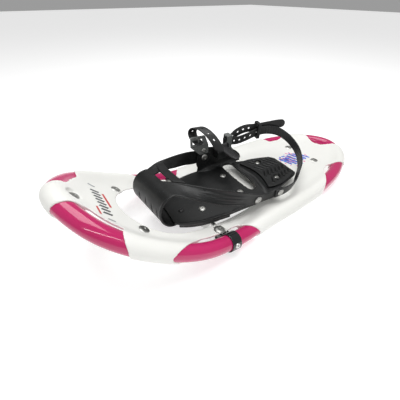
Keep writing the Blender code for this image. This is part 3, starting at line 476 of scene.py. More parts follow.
def loop_curve():
    right = [Vector((x, y, 0)) for x, y in PLAN]
    ring = right + [Vector((-p.x, p.y, 0)) for p in right[-2:0:-1]]
    fine = []
    for i in range(len(ring)):
        four = [ring[(i + k) % len(ring)] for k in (-1, 0, 1, 2)]
        fine += [catmull(four, step / 40) for step in range(40)]
    fine.append(ring[0].copy())
    return fine


LOOP = loop_curve()
LOOP_LENGTHS = np.cumsum([0.0] + [(q - p).length for p, q in zip(LOOP, LOOP[1:])])
LOOP_XY = [np.array([p[k] for p in LOOP]) for k in (0, 1)]


def on_loop(fraction):
    along = fraction % 1.0 * LOOP_LENGTHS[-1]

    def at(length):
        length %= LOOP_LENGTHS[-1]
        return Vector([np.interp(length, LOOP_LENGTHS, xy) for xy in LOOP_XY])

    forward = (at(along + 0.0015) - at(along - 0.0015)).normalized()
    return at(along), Vector((-forward.y, forward.x))


def fraction_near(x, y):
    gaps = [(p.x - x) ** 2 + (p.y - y) ** 2 for p in LOOP]
    return LOOP_LENGTHS[int(np.argmin(gaps))] / LOOP_LENGTHS[-1]


def loop_frames(count):
    """Centre, outward and upward at even steps round the frame."""
    centres = []
    for i in range(count):
        point, _ = on_loop(i / count)
        centres.append(Vector((point.x, point.y, TUBE_Z + rise(point.y))))
    frames = []
    for i, centre in enumerate(centres):
        forward = (centres[(i + 1) % count] - centres[i - 1]).normalized()
        outward = Vector((-forward.y, forward.x, 0)).normalized()
        frames.append((centre, outward, forward.cross(outward)))
    return frames


FRAMES = loop_frames(400)


def loop_sweep(radius, sides=40):
    verts = []
    for centre, outward, upward in FRAMES:
        verts += [centre + radius * (outward * c + upward * s) for c, s in circle(sides)]
    return verts, ring_faces(len(FRAMES), sides, closed=True)


def make_tube():
    tube = make_object("tube_paint", loop_sweep(TUBE_R, 48))
    finish_piece(tube, PINK, "shoe", "frame_tube", "frame_tube")


# ---------------- deck

def deck_plate():
    verts = []
    half = len(FRAMES) // 2
    for i in range(2, half - 1):
        centre = FRAMES[i][0]
        top = deck_surface(centre.y)
        for side, z in ((-1, top - DECK_THICK), (1, top - DECK_THICK), (1, top), (-1, top)):
            verts.append((side * centre.x, centre.y, z))
    return verts, ring_faces(half - 3, 4)


def deck_saddle():
    """The sheet's sweep from the flat deck up on to the wrap round the tube."""
    verts = []
    steps = 12
    turn = radians(112)
    for centre, outward, upward in FRAMES:
        far = centre - outward * 0.026
        near = centre - outward * 0.025
        start = Vector((far.x, far.y, deck_surface(far.y)))
        lead = (Vector((near.x, near.y, deck_surface(near.y))) - start).normalized()
        end = centre + WRAP_OUT * (outward * cos(turn) + upward * sin(turn))
        tangent = outward * sin(turn) - upward * cos(turn)
        second = start + lead * 0.011
        third = end - tangent * 0.007
        for i in range(steps + 1):
            t = i / steps
            s = 1 - t
            verts.append(s ** 3 * start + 3 * s * s * t * second + 3 * s * t * t * third + t ** 3 * end)
        verts.append(centre + upward * 0.008 - outward * 0.004)
        verts.append(centre - outward * 0.010 + upward * 0.004)
        verts.append(start - Vector((0, 0, 0.0012)))
    return verts, ring_faces(len(FRAMES), steps + 4, closed=True)


def window_outline(start, end, depth, ramp_a, ramp_b, flip):
    first = fraction_near(*start)
    last = fraction_near(*end)
    steps = 60
    outside = WRAP_OUT + 0.001
    outer = []
    inner = []
    for i in range(steps + 1):
        t = i / steps
        point, outward = on_loop(first + (last - first) * t)
        cover = ease(t / ramp_a) * ease((1 - t) / ramp_b)
        outer.append(point + outward * (outside + 0.012))
        inner.append(point + outward * (outside - (outside + depth) * cover))
    return [(p.x * flip, p.y) for p in outer + inner[::-1]]


# Ends of the cut-outs, how far in each reaches, its end tapers, and the side it is on
WINDOWS = [
    ((0.001, 0.26696), (0.0680, 0.2225), 0.0115, 0.26, 0.42, 1),
    ((0.0790, 0.197), (0.0889, 0.060), 0.0145, 0.50, 0.22, 1),
    ((0.084, -0.133), (0.058, -0.222), 0.0100, 0.3, 0.5, 1),
    ((0.053, -0.2315), (-0.037, -0.2515), 0.0250, 0.4, 0.4, 1),
    ((0.013, 0.266), (0.068, 0.222), 0.0158, 0.30, 0.14, -1),
    ((0.0798, 0.196), (0.0887, 0.046), 0.0145, 0.40, 0.22, -1),
    ((0.0878, -0.094), (0.061, -0.216), 0.0165, 0.65, 0.30, -1),
]


def toe_hole_outline():
    half = 0.057
    points = []
    for i in range(49):
        turn = pi * i / 48
        points.append((half * cos(turn), 0.152 + 0.058 * sin(turn)))
    for centre, start in ((-1, 180), (1, 270)):
        for i in range(10):
            turn = radians(start + 10 * i)
            points.append((centre * (half - 0.02) + 0.02 * cos(turn), 0.038 + 0.02 * sin(turn)))
    return points


DECK_RIVETS = {
    "deck_rivet_nose": (0.0, 0.250), "deck_rivet_front_l": (-0.0455, 0.1985),
    "deck_rivet_front_r": (0.0455, 0.1985), "deck_rivet_tail_l": (-0.032, -0.176),
    "deck_rivet_tail_r": (0.032, -0.176), "heel_crampon_rivet_l": (-0.034, 0.001),
    "heel_crampon_rivet_r": (0.034, 0.001), "clamp_rivet_l": (-0.0680, 0.1005),
    "clamp_rivet_r": (0.0680, 0.1005),
}


def deck_matrix(x, y):
    return Matrix.Translation((x, y, deck_surface(y))) @ Matrix.Rotation(slope(y), 4, 'X')


def make_deck():
    """The plate, the saddle and the wrap as one skin, with its cut-outs, then skinned again."""
    bosses = []
    dimples = []
    for name, (x, y) in DECK_RIVETS.items():
        deep, wide = (0.0022, 0.0102) if name.startswith("clamp") else (0.0008, 0.0086)
        boss = turned([(0, -0.0004), (wide + 0.0015, -0.0004), (wide + 0.001, -0.0031), (0, -0.0031)], 36)
        if not name.startswith(("clamp", "heel")):
            bosses.append(moved(boss, deck_matrix(x, y)))
        bowl = turned([(0, 0.006), (wide + 0.002, 0.006), (wide, 0.0002), (wide * 0.75, -deep * 0.8),
                       (wide * 0.5, -deep), (0, -deep)], 36)
        dimples.append(moved(bowl, deck_matrix(x, y)))
    deck = make_object("deck_sheet", joined(deck_plate(), deck_saddle(), loop_sweep(WRAP_OUT), *bosses))
    skin(deck, 0.0011, 3, 1.0)
    windows = [prism(window_outline(*window), -0.01, NOSE_RISE + 0.06) for window in WINDOWS]
    cut(deck, loop_sweep(WRAP_BORE), joined(*windows), prism(toe_hole_outline(), -0.01, 0.16),
        joined(*dimples))
    skin(deck, 0.0010, 5, 0.30)
    finish_piece(deck, WHITE, "shoe", "deck", "deck")
    return deck


# ---------------- rivets and screws

def rivet_profile(head, grip, tail, high=0.0021):
    return [
        (0, high * 0.62), (head * 0.20, high * 0.62), (head * 0.27, high * 0.95), (head * 0.45, high),
        (head * 0.72, high * 0.86), (head * 0.92, high * 0.55), (head, high * 0.28), (head * 0.98, GAP),
        (0.002, GAP), (0.002, -grip - GAP), (tail * 0.9, -grip - GAP), (tail, -grip - 0.0006),
        (tail * 0.8, -grip - 0.0012), (0, -grip - 0.0012),
    ]


def make_rivet(node, matrix, head, grip, tail, body, recess=None, high=0.0021, mat=None):
    solid = turned(rivet_profile(head, grip, tail, high), 48, recess)
    rivet = make_object(node + "_head", solid, matrix)
    finish_piece(rivet, mat or RIVET, body, "steel", node, sharp=38)


def make_deck_rivets():
    for name, (x, y) in DECK_RIVETS.items():
        grip = DECK_THICK * cos(slope(y))
        head = 0.0058 if name == "deck_rivet_nose" else 0.0068
        high, drop = 0.0016, 0.0007
        if name.startswith("heel_crampon"):
            grip += CRAMPON_SHEET + GAP
        if name.startswith("clamp"):
            grip += CLAMP_DEPTH
            head, high, drop = 0.0080, 0.0026, 0.0015
        matrix = deck_matrix(x, y) @ Matrix.Translation((0, 0, -drop))
        make_rivet(name, matrix, head, grip - drop, 0.004, "shoe", high=high)


def make_clamps():
    for side, tag in ((-1, "l"), (1, "r")):
        clamp = softened("pivot_clamp_" + tag, "clamp_band_" + tag, 0.0005, 4, 0.25)
        finish_piece(clamp, CLAMP, "shoe", "clamp", "pivot_clamp_" + tag)
        low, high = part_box("clamp_screw_" + tag)
        outward = Vector((side * cos(SCREW_RAISED), 0, sin(SCREW_RAISED)))
        centre = (low + high) / 2 - outward * 0.0008
        screw = [(0, 0.0004), (0.0009, 0.0004), (0.0011, 0.0016), (0.0018, 0.0019), (0.0032, 0.0014),
                 (0.0038, 0.0004), (0.0038, 0.0), (0, 0.0)]
        head = make_object("screw_head_" + tag, turned(screw, 48, {1: (4, 0.45), 2: (4, 0.45)}),
                           aimed(centre, outward))
        finish_piece(head, STEEL, "shoe", "steel", "clamp_screw_" + tag, sharp=38)


# ---------------- binding

FOOT = Matrix.Translation((0, PIVOT_Y, 0)) @ Matrix.Rotation(-TOE_OUT, 4, 'Z')
FLOOR = [
    (-0.190, -0.026, 0.026), (-0.184, -0.032, 0.032), (-0.165, -0.038, 0.038), (-0.135, -0.047, 0.046),
    (-0.115, -0.0585, 0.052), (-0.095, -0.0585, 0.0585), (-0.060, -0.0585, 0.0585),
    (-0.020, -0.0575, 0.0585), (0.002, -0.0545, 0.0545), (0.020, -0.0515, 0.0525),
    (0.040, -0.0435, 0.0465), (0.050, -0.037, 0.042),
]
SKIRT = [(-0.0560, -0.030), (-0.0540, -0.006), (-0.0515, 0.014), (-0.0455, 0.032), (-0.0390, 0.044)]
RIGHT_WALL = [
    (-0.131, 0.0335), (-0.034, 0.0335), (-0.037, 0.070), (-0.041, 0.077), (-0.048, 0.080),
    (-0.070, 0.076), (-0.094, 0.070), (-0.106, 0.063), (-0.118, 0.056), (-0.129, 0.045),
]
LEFT_WALL = [
    (-0.131, 0.0335), (-0.026, 0.0335), (-0.045, 0.0375), (-0.058, 0.0395), (-0.064, 0.0500),
    (-0.084, 0.0500), (-0.098, 0.0430), (-0.112, 0.0465), (-0.130, 0.0465),
]
SLOT = [(-0.030, -0.094), (-0.026, -0.086), (0.040, -0.0835), (0.051, -0.0860), (0.0540, -0.0940),
        (0.050, -0.1055), (0.040, -0.1045), (-0.014, -0.1065), (-0.025, -0.1045)]


def foot(u, v, z):
    return FOOT @ Vector((u, v, z))


def fillet_along(u, side, start, end, size, z):
    """A hollow corner between the floor and a wall."""
    section = [(0, 0)]
    for i in range(9):
        turn = pi / 2 * i / 8
        section.append((size * (1 - sin(turn)), size * (1 - cos(turn))))
    verts = []
    rings = 14
    for i in range(rings):
        v = start + (end - start) * i / (rings - 1)
        t = ease(min(i, rings - 1 - i) / 3)
        for a, b in section:
            verts.append((u - side * a * (0.3 + 0.7 * t), v, z + b * (0.3 + 0.7 * t)))
    return verts, ring_faces(rings, len(section))


def make_footbed():
    left = smooth_path([(a, v, 0) for v, a, _ in FLOOR], 90)
    right = smooth_path([(b, v, 0) for v, _, b in FLOOR], 90)
    outline = [(p.x, p.y) for p in right] + [(p.x, p.y) for p in left[::-1]]
    top = FLOOR_Z + FLOOR_THICK
    inner = WALL_U - SHEET / 2
    solids = [prism(outline, FLOOR_Z, top),
              side_plate(rounded(RIGHT_WALL, 3), WALL_U, SHEET),
              side_plate(rounded(LEFT_WALL, 3), -WALL_U, SHEET),
              side_plate([(-0.129, 0.0325), (-0.036, 0.0325), (-0.038, 0.045), (-0.120, 0.045)],
                         WALL_U, SHEET),
              side_plate([(-0.129, 0.0325), (-0.030, 0.0325), (-0.060, 0.0375), (-0.128, 0.0375)],
                         -WALL_U, SHEET),
              fillet_along(inner + 0.0004, 1, -0.128, -0.036, 0.010, top - 0.0004),
              fillet_along(-inner - 0.0004, -1, -0.128, -0.050, 0.006, top - 0.0004)]
    for side in (-1, 1):
        high = [(-side * u, v, FLOOR_Z + 0.0012) for u, v in SKIRT]
        low = [(x, v, FLOOR_Z + 0.0012 - 0.0072) for x, v, _ in high]
        solids.append(ribbon(high, low, SHEET - 0.0004, 40))
        edge = [(x, v, FLOOR_Z + FLOOR_THICK - 0.0003) for x, v, _ in high]
        solids.append(rod(edge, 0.0012, 50, 8, 0.4))
    low = deck_surface(0.0) + 2 * GAP
    solids += [box((side * 0.014 - 0.002, -0.172, low), (side * 0.014 + 0.002, -0.118, FLOOR_Z + 0.001))
               for side in (-1, 1)]
    band = [(-0.047, -0.1085, 0), (-0.025, -0.1125, 0), (0.0, -0.1165, 0), (0.025, -0.1125, 0),
            (0.049, -0.1085, 0)]
    rings = 50
    sides = 14
    verts = []
    for i, p in enumerate(smooth_path(band, rings)):
        t = i / (rings - 1)
        size = 0.4 + 0.6 * ease(min(t, 1 - t) * 6)
        verts += [(p.x, p.y + 0.0046 * c, top + 0.0021 * size * s) for c, s in circle(sides)]
    solids.append((verts, ring_faces(rings, sides)))
    bed = make_object("footbed_moulding", joined(*solids), FOOT)
    cut(bed, moved(prism(rounded(SLOT, 3), 0.0, 0.07), FOOT))
    skin(bed, 0.0007, 4, 0.35)
    finish_piece(bed, RUBBER, "binding", "binding", "footbed")


PAD_RIVETS = ((-0.0255, -0.147), (0.0255, -0.147))


def make_heel_pad():
    low = FLOOR_Z + FLOOR_THICK + GAP
    top = low + 0.003
    front = [(0.040 - 0.004 * i, -0.116 - 0.010 * sin(pi * i / 20)) for i in range(21)]
    outline = [(-0.044, -0.135), (-0.036, -0.165), (-0.029, -0.186), (0.029, -0.186), (0.036, -0.165),
               (0.044, -0.135)] + front
    solids = [prism(rounded(outline, 2), low, top)]
    for row in range(6):
        v = -0.1385 - 0.0084 * row
        reach = 0.0375 - 0.0022 * row
        for side in (-1, 1):
            for k in range(2):
                length = reach * 0.40
                u = side * (0.0035 + k * reach * 0.50)
                a = Vector((u, v - 0.0010 * k, top + 0.0008))
                b = a + Vector((side * length * 0.86, length * 0.50, 0))
                solids.append(rod([a, (a + b) / 2, b], 0.0021, 8, 10, 0.85))
    for u, v in PAD_RIVETS:
        solids.append(moved(turned([(0, 0.0011), (0.0074, 0.0011), (0.0082, 0.0), (0.0082, -0.002),
                                    (0, -0.002)], 40), Matrix.Translation((u, v, top))))
    pad = make_object("heel_pad_treads", joined(*solids), FOOT)
    sinks = [prism([(u + 0.0058 * cos(a), v + 0.0058 * sin(a))
                    for a in np.linspace(0, 2 * pi, 36, endpoint=False)], low + 0.001, 0.07)
             for u, v in PAD_RIVETS]
    cut(pad, moved(joined(*sinks), FOOT))
    skin(pad, 0.0005, 1, 0.4)
    finish_piece(pad, RUBBER, "binding", "binding", "heel_pad")


CURL_V = 0.053
CURL_DEEP = 0.0212
CURL_HIGH = 0.0263
CURL_SKEW = 0.17
CURL_HALF = 0.036
FLANGE_BACK = 0.022
FLANGE_HALF = 0.030
FLANGE_Z = FLOOR_Z - GAP - SHEET / 2


def curl_point(u, degrees, out=0.0):
    """A point on the toe cap's curl; 0 degrees faces forwards and 90 up."""
    turn = radians(degrees)
    v = CURL_V + (CURL_DEEP + out) * cos(turn) + CURL_SKEW * u
    z = FLANGE_Z + CURL_HIGH + (CURL_HIGH + out) * sin(turn)
    return Vector((u, v, z))


def toe_curl():
    """The flange under the floor and the curl in front of the toes, as one bent sheet."""
    steps = 60
    wide = 16
    spread = [2 * j / wide - 1 for j in range(wide + 1)]
    rows = []
    for i in range(4):
        v = FLANGE_BACK + 0.016 * i / 3
        rows.append([(FLANGE_HALF * share, v, FLANGE_Z, 0, -1) for share in spread])
    for i in range(steps + 1):
        degrees = -86 + 188 * i / steps
        turn = radians(degrees)
        rows.append([(*curl_point(CURL_HALF * share, degrees), cos(turn), sin(turn))
                     for share in spread])
    verts = []
    for row in rows:
        verts += [(u, v - nv * SHEET / 2, z - nz * SHEET / 2) for u, v, z, nv, nz in row]
        verts += [(u, v + nv * SHEET / 2, z + nz * SHEET / 2) for u, v, z, nv, nz in reversed(row)]
    return verts, ring_faces(len(rows), 2 * (wide + 1))


def arm_ridges(top, bottom):
    """Beads on both edges of the left arm and three ridges along it."""
    ridges = []
    for share, first, last, size in ((0.03, 4, 56, 0.0013), (0.97, 1, 57, 0.0014), (0.36, 16, 50, 0.0013),
                                     (0.60, 12, 50, 0.0013), (0.80, 10, 46, 0.0011)):
        line = []
        for i in range(first, last, 3):
            across = (bottom[i] - top[i]).normalized()
            normal = heading(top, i).cross(across).normalized()
            if normal.x > 0:
                normal = -normal
            line.append(top[i].lerp(bottom[i], share) + normal * (SHEET / 2 - 0.0003))
        ridges.append(rod(line, size, 60, 10, 0.1))
    return ridges


def make_toe_cap():
    near_top = [(0.002, 0.0525, 0.0831), (-0.006, 0.0430, 0.0836), (-0.020, 0.0290, 0.0842),
                (-0.0355, 0.0090, 0.0825), (-0.0500, -0.0130, 0.0795), (-0.0585, -0.0400, 0.0710),
                (-OUTER_U, -0.0640, 0.0590), (-OUTER_U, -0.0840, 0.0505)]
    near_low = [(-0.0355, 0.0465, 0.0829), (-0.0410, 0.0400, 0.0822), (-0.0475, 0.0320, 0.0805),
                (-0.0550, 0.0127, 0.0725), (-0.0598, -0.0160, 0.0585), (-0.0607, -0.0510, 0.0450),
                (-OUTER_U, -0.0660, 0.0395), (-OUTER_U, -0.0840, 0.0385)]
    far_top = [(0.0355, 0.0560, 0.0829), (0.0455, 0.0390, 0.0822), (0.0530, 0.0170, 0.0800),
               (0.0588, -0.0070, 0.0775), (OUTER_U, -0.0300, 0.0750), (OUTER_U, -0.0670, 0.0665)]
    far_low = [(0.0180, 0.0540, 0.0829), (0.0330, 0.0330, 0.0765), (0.0475, 0.0100, 0.0650),
               (0.0580, -0.0125, 0.0570), (OUTER_U, -0.0330, 0.0525), (OUTER_U, -0.0670, 0.0525)]
    bridge_front = [(0.0400, 0.0410, 0.0822), (0.0155, 0.0420, 0.0834), (-0.0090, 0.0370, 0.0834)]
    bridge_rear = [(0.0450, 0.0280, 0.0790), (0.0170, 0.0290, 0.0826), (-0.0200, 0.0225, 0.0830)]
    solids = [toe_curl(), ribbon(near_top, near_low, SHEET, 80, 12), ribbon(far_top, far_low, SHEET, 60, 8),
              ribbon(bridge_front, bridge_rear, SHEET - GAP, 30, 6)]
    for u, size, sides in ((-0.0362, 0.0019, 12), (0.0355, 0.0016, 10)):
        mouth = [curl_point(u, turn) for turn in np.linspace(-96, 98, 30)]
        solids.append(rod(mouth, size, 90, sides, 0.5))
    top = smooth_path(near_top, 60)
    bottom = smooth_path(near_low, 60)
    solids += arm_ridges(top, bottom)
    solids += [rod(smooth_path(edge, 20), 0.0014, 50, 10, 0.6) for edge in (far_low, far_top)]
    pip = turned([(0, 0.0012), (0.0008, 0.0010), (0.0012, 0), (0.0012, -0.001), (0, -0.001)], 16)
    spot = top[22].lerp(bottom[22], 0.2)
    solids.append(moved(pip, Matrix.Translation(spot + Vector((-0.0003, 0, SHEET / 2)))))
    cap = make_object("toe_cap_moulding", joined(*solids), FOOT)
    skin(cap, 0.00055, 3, 1.0)
    grooves = []
    for u in (0.016, -0.001, -0.017, -0.030):
        line = [curl_point(u, turn, SHEET / 2 + 0.0003) for turn in np.linspace(-56, 22, 12)]
        grooves.append(moved(rod(line, 0.0017, 24, 12, 0.3), FOOT))
    cut(cap, joined(*grooves))
    skin(cap, 0.0005, 2, 0.28)
    finish_piece(cap, RUBBER, "binding", "binding", "toe_cap")


CRAMPON_GRIP = FLOOR_THICK + GAP + CRAMPON_SHEET
PAD_SINK = 0.001
PAD_GRIP = FLOOR_THICK + GAP + PAD_SINK
CAP_GRIP = FLOOR_THICK + GAP + SHEET
# Place on the floor, lift above it, head radius and grip
FLOOR_RIVETS = {
    "crampon_rivet_front_l": (-0.030, 0.002, 0, 0.0054, CRAMPON_GRIP),
    "crampon_rivet_front_r": (0.025, 0.002, 0, 0.0054, CRAMPON_GRIP),
    "crampon_rivet_rear_l": (-0.025, -0.070, 0, 0.0054, CRAMPON_GRIP),
    "crampon_rivet_rear_r": (0.025, -0.070, 0, 0.0054, CRAMPON_GRIP),
    "heel_pad_rivet_l": (*PAD_RIVETS[0], GAP + PAD_SINK, 0.0046, PAD_GRIP),
    "heel_pad_rivet_r": (*PAD_RIVETS[1], GAP + PAD_SINK, 0.0046, PAD_GRIP),
    "toe_cap_rivet_l": (-0.018, 0.031, 0, 0.0042, CAP_GRIP),
    "toe_cap_rivet_r": (0.018, 0.031, 0, 0.0042, CAP_GRIP),
}
# Place on a side wall, grip and head radius
SIDE_RIVETS = {
    "arm_rivet_l": (-WALL_U, -0.0745, 0.0445, 2 * SHEET + 4 * GAP, 0.0058),
    "heel_strap_rivet": (-WALL_U, -0.121, 0.0397, STRAP_THICK + 3 * GAP + SHEET, 0.0056),
    "buckle_rivet_rear": (WALL_U, -0.121, 0.0397, BUCKLE_PLATE + GAP + SHEET, 0.0042),
}


def make_binding_rivets():
    star = {1: (6, 0.16), 2: (6, 0.16)}
    floor_top = FLOOR_Z + FLOOR_THICK
    for name, (u, v, lift, head, grip) in FLOOR_RIVETS.items():
        # The toe cap rivets are steel but take the black lever plastic: painted shade, so they sink into
        # the dark under the toe cap.
        mat = LEVER if name.startswith("toe_cap") else RIVET
        make_rivet(name, Matrix.Translation(foot(u, v, floor_top + lift)), head, grip, 0.0036, "binding",
                   star, mat=mat)
    for name, (u, v, z, grip, head) in SIDE_RIVETS.items():
        side = copysign(1, u)
        face = side * (WALL_U - SHEET / 2 + grip)
        outward = FOOT.to_3x3() @ Vector((side, 0, 0))
        make_rivet(name, aimed(foot(face, v, z), outward), head, grip, 0.004, "binding")
    inward = FOOT.to_3x3() @ Vector((-1, 0, 0))
    make_rivet("arm_rivet_r", aimed(foot(WALL_U - SHEET / 2, -0.0505, 0.0610), inward), 0.0060,
               2 * SHEET + 4 * GAP, 0.0036, "binding")
    face = WALL_U - SHEET / 2 - GAP - BUCKLE_PLATE
    make_rivet("buckle_rivet_front", aimed(foot(face, -0.0475, 0.0766), inward), 0.0042,
               BUCKLE_PLATE + GAP + SHEET, 0.0032, "binding")


# ---------------- straps and buckles

HEEL_STRAP = [
    (-0.0598, -0.112, 0.0395), (-0.0600, -0.134, 0.0395), (-0.0550, -0.156, 0.0400),
    (-0.0395, -0.180, 0.0415), (-0.0205, -0.205, 0.0445), (0.0060, -0.2240, 0.0510),
    (0.0300, -0.2240, 0.0630), (0.0460, -0.2090, 0.0755), (0.0560, -0.1880, 0.0805),
    (0.0612, -0.1680, 0.0790), (0.0632, -0.1450, 0.0735), (0.0636, -0.1250, 0.0715),
    (0.0636, -0.1080, 0.0742), (0.0638, -0.0980, 0.0745), (0.0657, -0.0945, 0.0745),
    (0.0677, -0.0980, 0.0745), (0.0679, -0.1080, 0.0757), (0.0705, -0.1250, 0.0830),
    (0.0700, -0.1450, 0.0868), (0.0664, -0.1680, 0.0855), (0.0615, -0.1890, 0.0870),
    (0.0555, -0.2060, 0.0890), (0.0480, -0.2200, 0.0900),
]
HEEL_ACROSS = [
    (0, 0, 1), (0, 0, 1), (-0.1, -0.1, 1), (-0.2, -0.2, 1), (-0.15, -0.3, 1), (0, -0.3, 1), (0.1, -0.3, 1),
    (0.2, -0.2, 1), (0.1, -0.1, 1), (0, 0, 1), (0, 0.1, 1), *[(0, 0, 1)] * 5, (0, 0.1, 1),
    (0.1, 0.25, 1), (0.05, 0.1, 1), (0, 0.05, 1), *[(0.1, 0, 1)] * 3,
]
INSTEP_STRAP = [
    (0.0440, -0.036, 0.0945), (0.0540, -0.036, 0.0948), (0.0660, -0.036, 0.0960),
    (0.0715, -0.036, 0.1040), (0.0660, -0.038, 0.1130), (0.0515, -0.0415, 0.1172),
    (0.0360, -0.047, 0.1125), (0.0250, -0.053, 0.1010), (0.0190, -0.058, 0.0880),
]
INSTEP_ACROSS = [*[(0, 1, 0)] * 4, (0.1, 1, 0), (0.25, 1, 0), *[(0.35, 1, 0)] * 3]


def strap_frames(points, across, count):
    middle = smooth_path(points, count)
    sides = smooth_path(across, count)
    frames = []
    for i in range(count):
        along = heading(middle, i)
        side = sides[i].normalized()
        frames.append((middle[i], along, side, along.cross(side).normalized()))
    return frames


def strap_solid(frames, width, thick, ribs=None, round_ends=(False, True)):
    """A band with round edges; ribs is (first share, last share, pitch, height)."""
    count = len(frames)
    step = (frames[1][0] - frames[0][0]).length
    verts = []
    sides = 14
    for i, (centre, _, side, normal) in enumerate(frames):
        half = width / 2
        gone = min(i if round_ends[0] else count, count - 1 - i if round_ends[1] else count) * step
        if gone < half:
            half = max(0.0006, sqrt(max(0.0, half ** 2 - (half - gone - 0.0002) ** 2)))
        deep = thick / 2
        if ribs and ribs[0] < i / count < ribs[1]:
            wave = 0.5 + 0.5 * cos(2 * pi * i * step / ribs[2])
            deep += ribs[3] * ease((wave - 0.35) / 0.4)
        edge = min(thick / 2, half * 0.8)
        for j in range(sides):
            if j < sides // 2:
                turn = -pi / 2 + pi * j / (sides // 2 - 1)
                a = half - edge + edge * cos(turn)
            else:
                turn = pi / 2 + pi * (j - sides // 2) / (sides // 2 - 1)
                a = -half + edge + edge * cos(turn)
            verts.append(centre + side * a + normal * deep * sin(turn))
    return verts, ring_faces(count, sides)


def capsule_cut(frame_at, long, wide, deep=0.003):
    centre, along, side, normal = frame_at
    outline = []
    for i in range(20):
        turn = 2 * pi * (i + 0.5) / 20
        shift = (long - wide) / 2 * (1 if cos(turn) > 0 else -1)
        outline.append((wide / 2 * cos(turn) + shift, wide / 2 * sin(turn)))
    verts = []
    for d in (-deep, deep):
        verts += [centre + along * a + side * b + normal * d for a, b in outline]
    return verts, ring_faces(2, 20)


def make_heel_strap():
    frames = strap_frames(HEEL_STRAP, HEEL_ACROSS, 560)
    solid = strap_solid(frames, STRAP_WIDTH, STRAP_THICK * 0.86, (0.10, 0.50, 0.0052, 0.00028))
    band = make_object("heel_strap_band", solid, FOOT)
    fold = max(range(len(frames)), key=lambda i: frames[i][0].y if i > 280 else -1)
    holes = []
    for i in range(5):
        v = -0.1165 - 0.0118 * i
        # the first test keeps to the right side of the loop
        found = [min(frames[:fold], key=lambda f: abs(f[0].y - v) + (f[0].x < 0))]
        if i < 4:
            found.append(min(frames[fold:], key=lambda f: abs(f[0].y - v)))
        holes += [moved(capsule_cut(at, 0.0044, 0.0034, 0.0012), FOOT) for at in found]
    cut(band, joined(*holes))
    finish_piece(band, STRAP, "heel_loop", "strap", "heel_strap", sharp=50)
    keeper = softened("strap_keeper", "keeper_ring", 0.0004, 4, 0.3)
    finish_piece(keeper, STRAP, "keeper", "strap", "strap_keeper")
    buckle = softened("buckle_rear", "rear_buckle_frame", 0.0004, 3, 0.3)
    finish_piece(buckle, GREY, "heel_loop", "buckle", "buckle_rear")


def make_instep():
    frames = strap_frames(INSTEP_STRAP, INSTEP_ACROSS, 260)
    solid = strap_solid(frames, STRAP_WIDTH, STRAP_THICK * 0.9, None, (True, True))
    band = make_object("instep_strap_band", solid, FOOT)
    holes = [moved(capsule_cut(frames[int(share * (len(frames) - 1))], 0.0036, 0.0026, 0.0016), FOOT)
             for share in (0.32, 0.44, 0.56, 0.68, 0.80)]
    cut(band, joined(*holes))
    finish_piece(band, STRAP, "instep", "strap", "instep_strap", sharp=50)
    inner = WALL_U - SHEET / 2 - GAP - BUCKLE_PLATE / 2
    bars = [rod([(inner, -0.050, 0.0880), (inner, -0.0255, 0.0890)], 0.0015, 10, 12),
            rod([(inner, -0.049, 0.1015), (inner, -0.0250, 0.1030)], 0.0017, 10, 12),
            rod([(inner - 0.0012, -0.0365, 0.0885), (inner - 0.0040, -0.0362, 0.0950),
                 (inner - 0.0016, -0.0360, 0.1010)], 0.0011, 16, 10)]
    buckle = softened("buckle_front", "front_buckle_frame", 0.0004, 3, 0.3, moved(joined(*bars), FOOT))
    finish_piece(buckle, GREY, "instep", "buckle", "buckle_front")


LEVER_PIN = (0.0500, -0.082, 0.0770)


def make_lever():
    u, v, z = LEVER_PIN
    middle = u - 0.0215
    outline = []
    for c, s in circle(64):
        outline.append((middle + 0.0238 * copysign(abs(c) ** 0.86, c),
                        v + 0.0090 * copysign(abs(s) ** 0.86, s)))
    verts = []
    for share, high in ((0.90, -0.0030), (1.0, -0.0020), (1.0, -0.0004), (0.93, 0.0006), (0.80, 0.0009)):
        verts += [(middle + (a - middle) * share, v + (b - v) * share, z + high) for a, b in outline]
    slab = (verts, ring_faces(5, 64))
    across = aimed(LEVER_PIN, (0, 1, 0))
    hub = moved(turned([(0, -0.0086), (0.0036, -0.0086), (0.0040, -0.0078), (0.0040, 0.0078),
                        (0.0036, 0.0086), (0, 0.0086)], 24), across)
    ribs = []
    for i in range(12):
        x = middle + 0.0165 - 0.0030 * i
        reach = 0.0068 * sqrt(max(0.05, 1 - ((x - middle) / 0.0205) ** 2))
        ribs.append(rod([(x, v - reach, z + 0.0009), (x, v, z + 0.0013), (x, v + reach, z + 0.0009)],
                        0.0008, 12, 8, 0.6))
    lever = make_object("lever_paddle", joined(slab, hub, *ribs), FOOT)
    bore = turned([(0, -0.02), (0.0017, -0.02), (0.0017, 0.02), (0, 0.02)], 24)
    cut(lever, moved(moved(bore, across), FOOT))
    skin(lever, 0.00035, 2, 0.35)
    finish_piece(lever, LEVER, "lever", "lever", "ratchet_lever")
    base = softened("ratchet_base", "ratchet_block", 0.0004, 4, 0.3)
    finish_piece(base, STRAP, "binding", "buckle", "ratchet_base")


# ---------------- decals

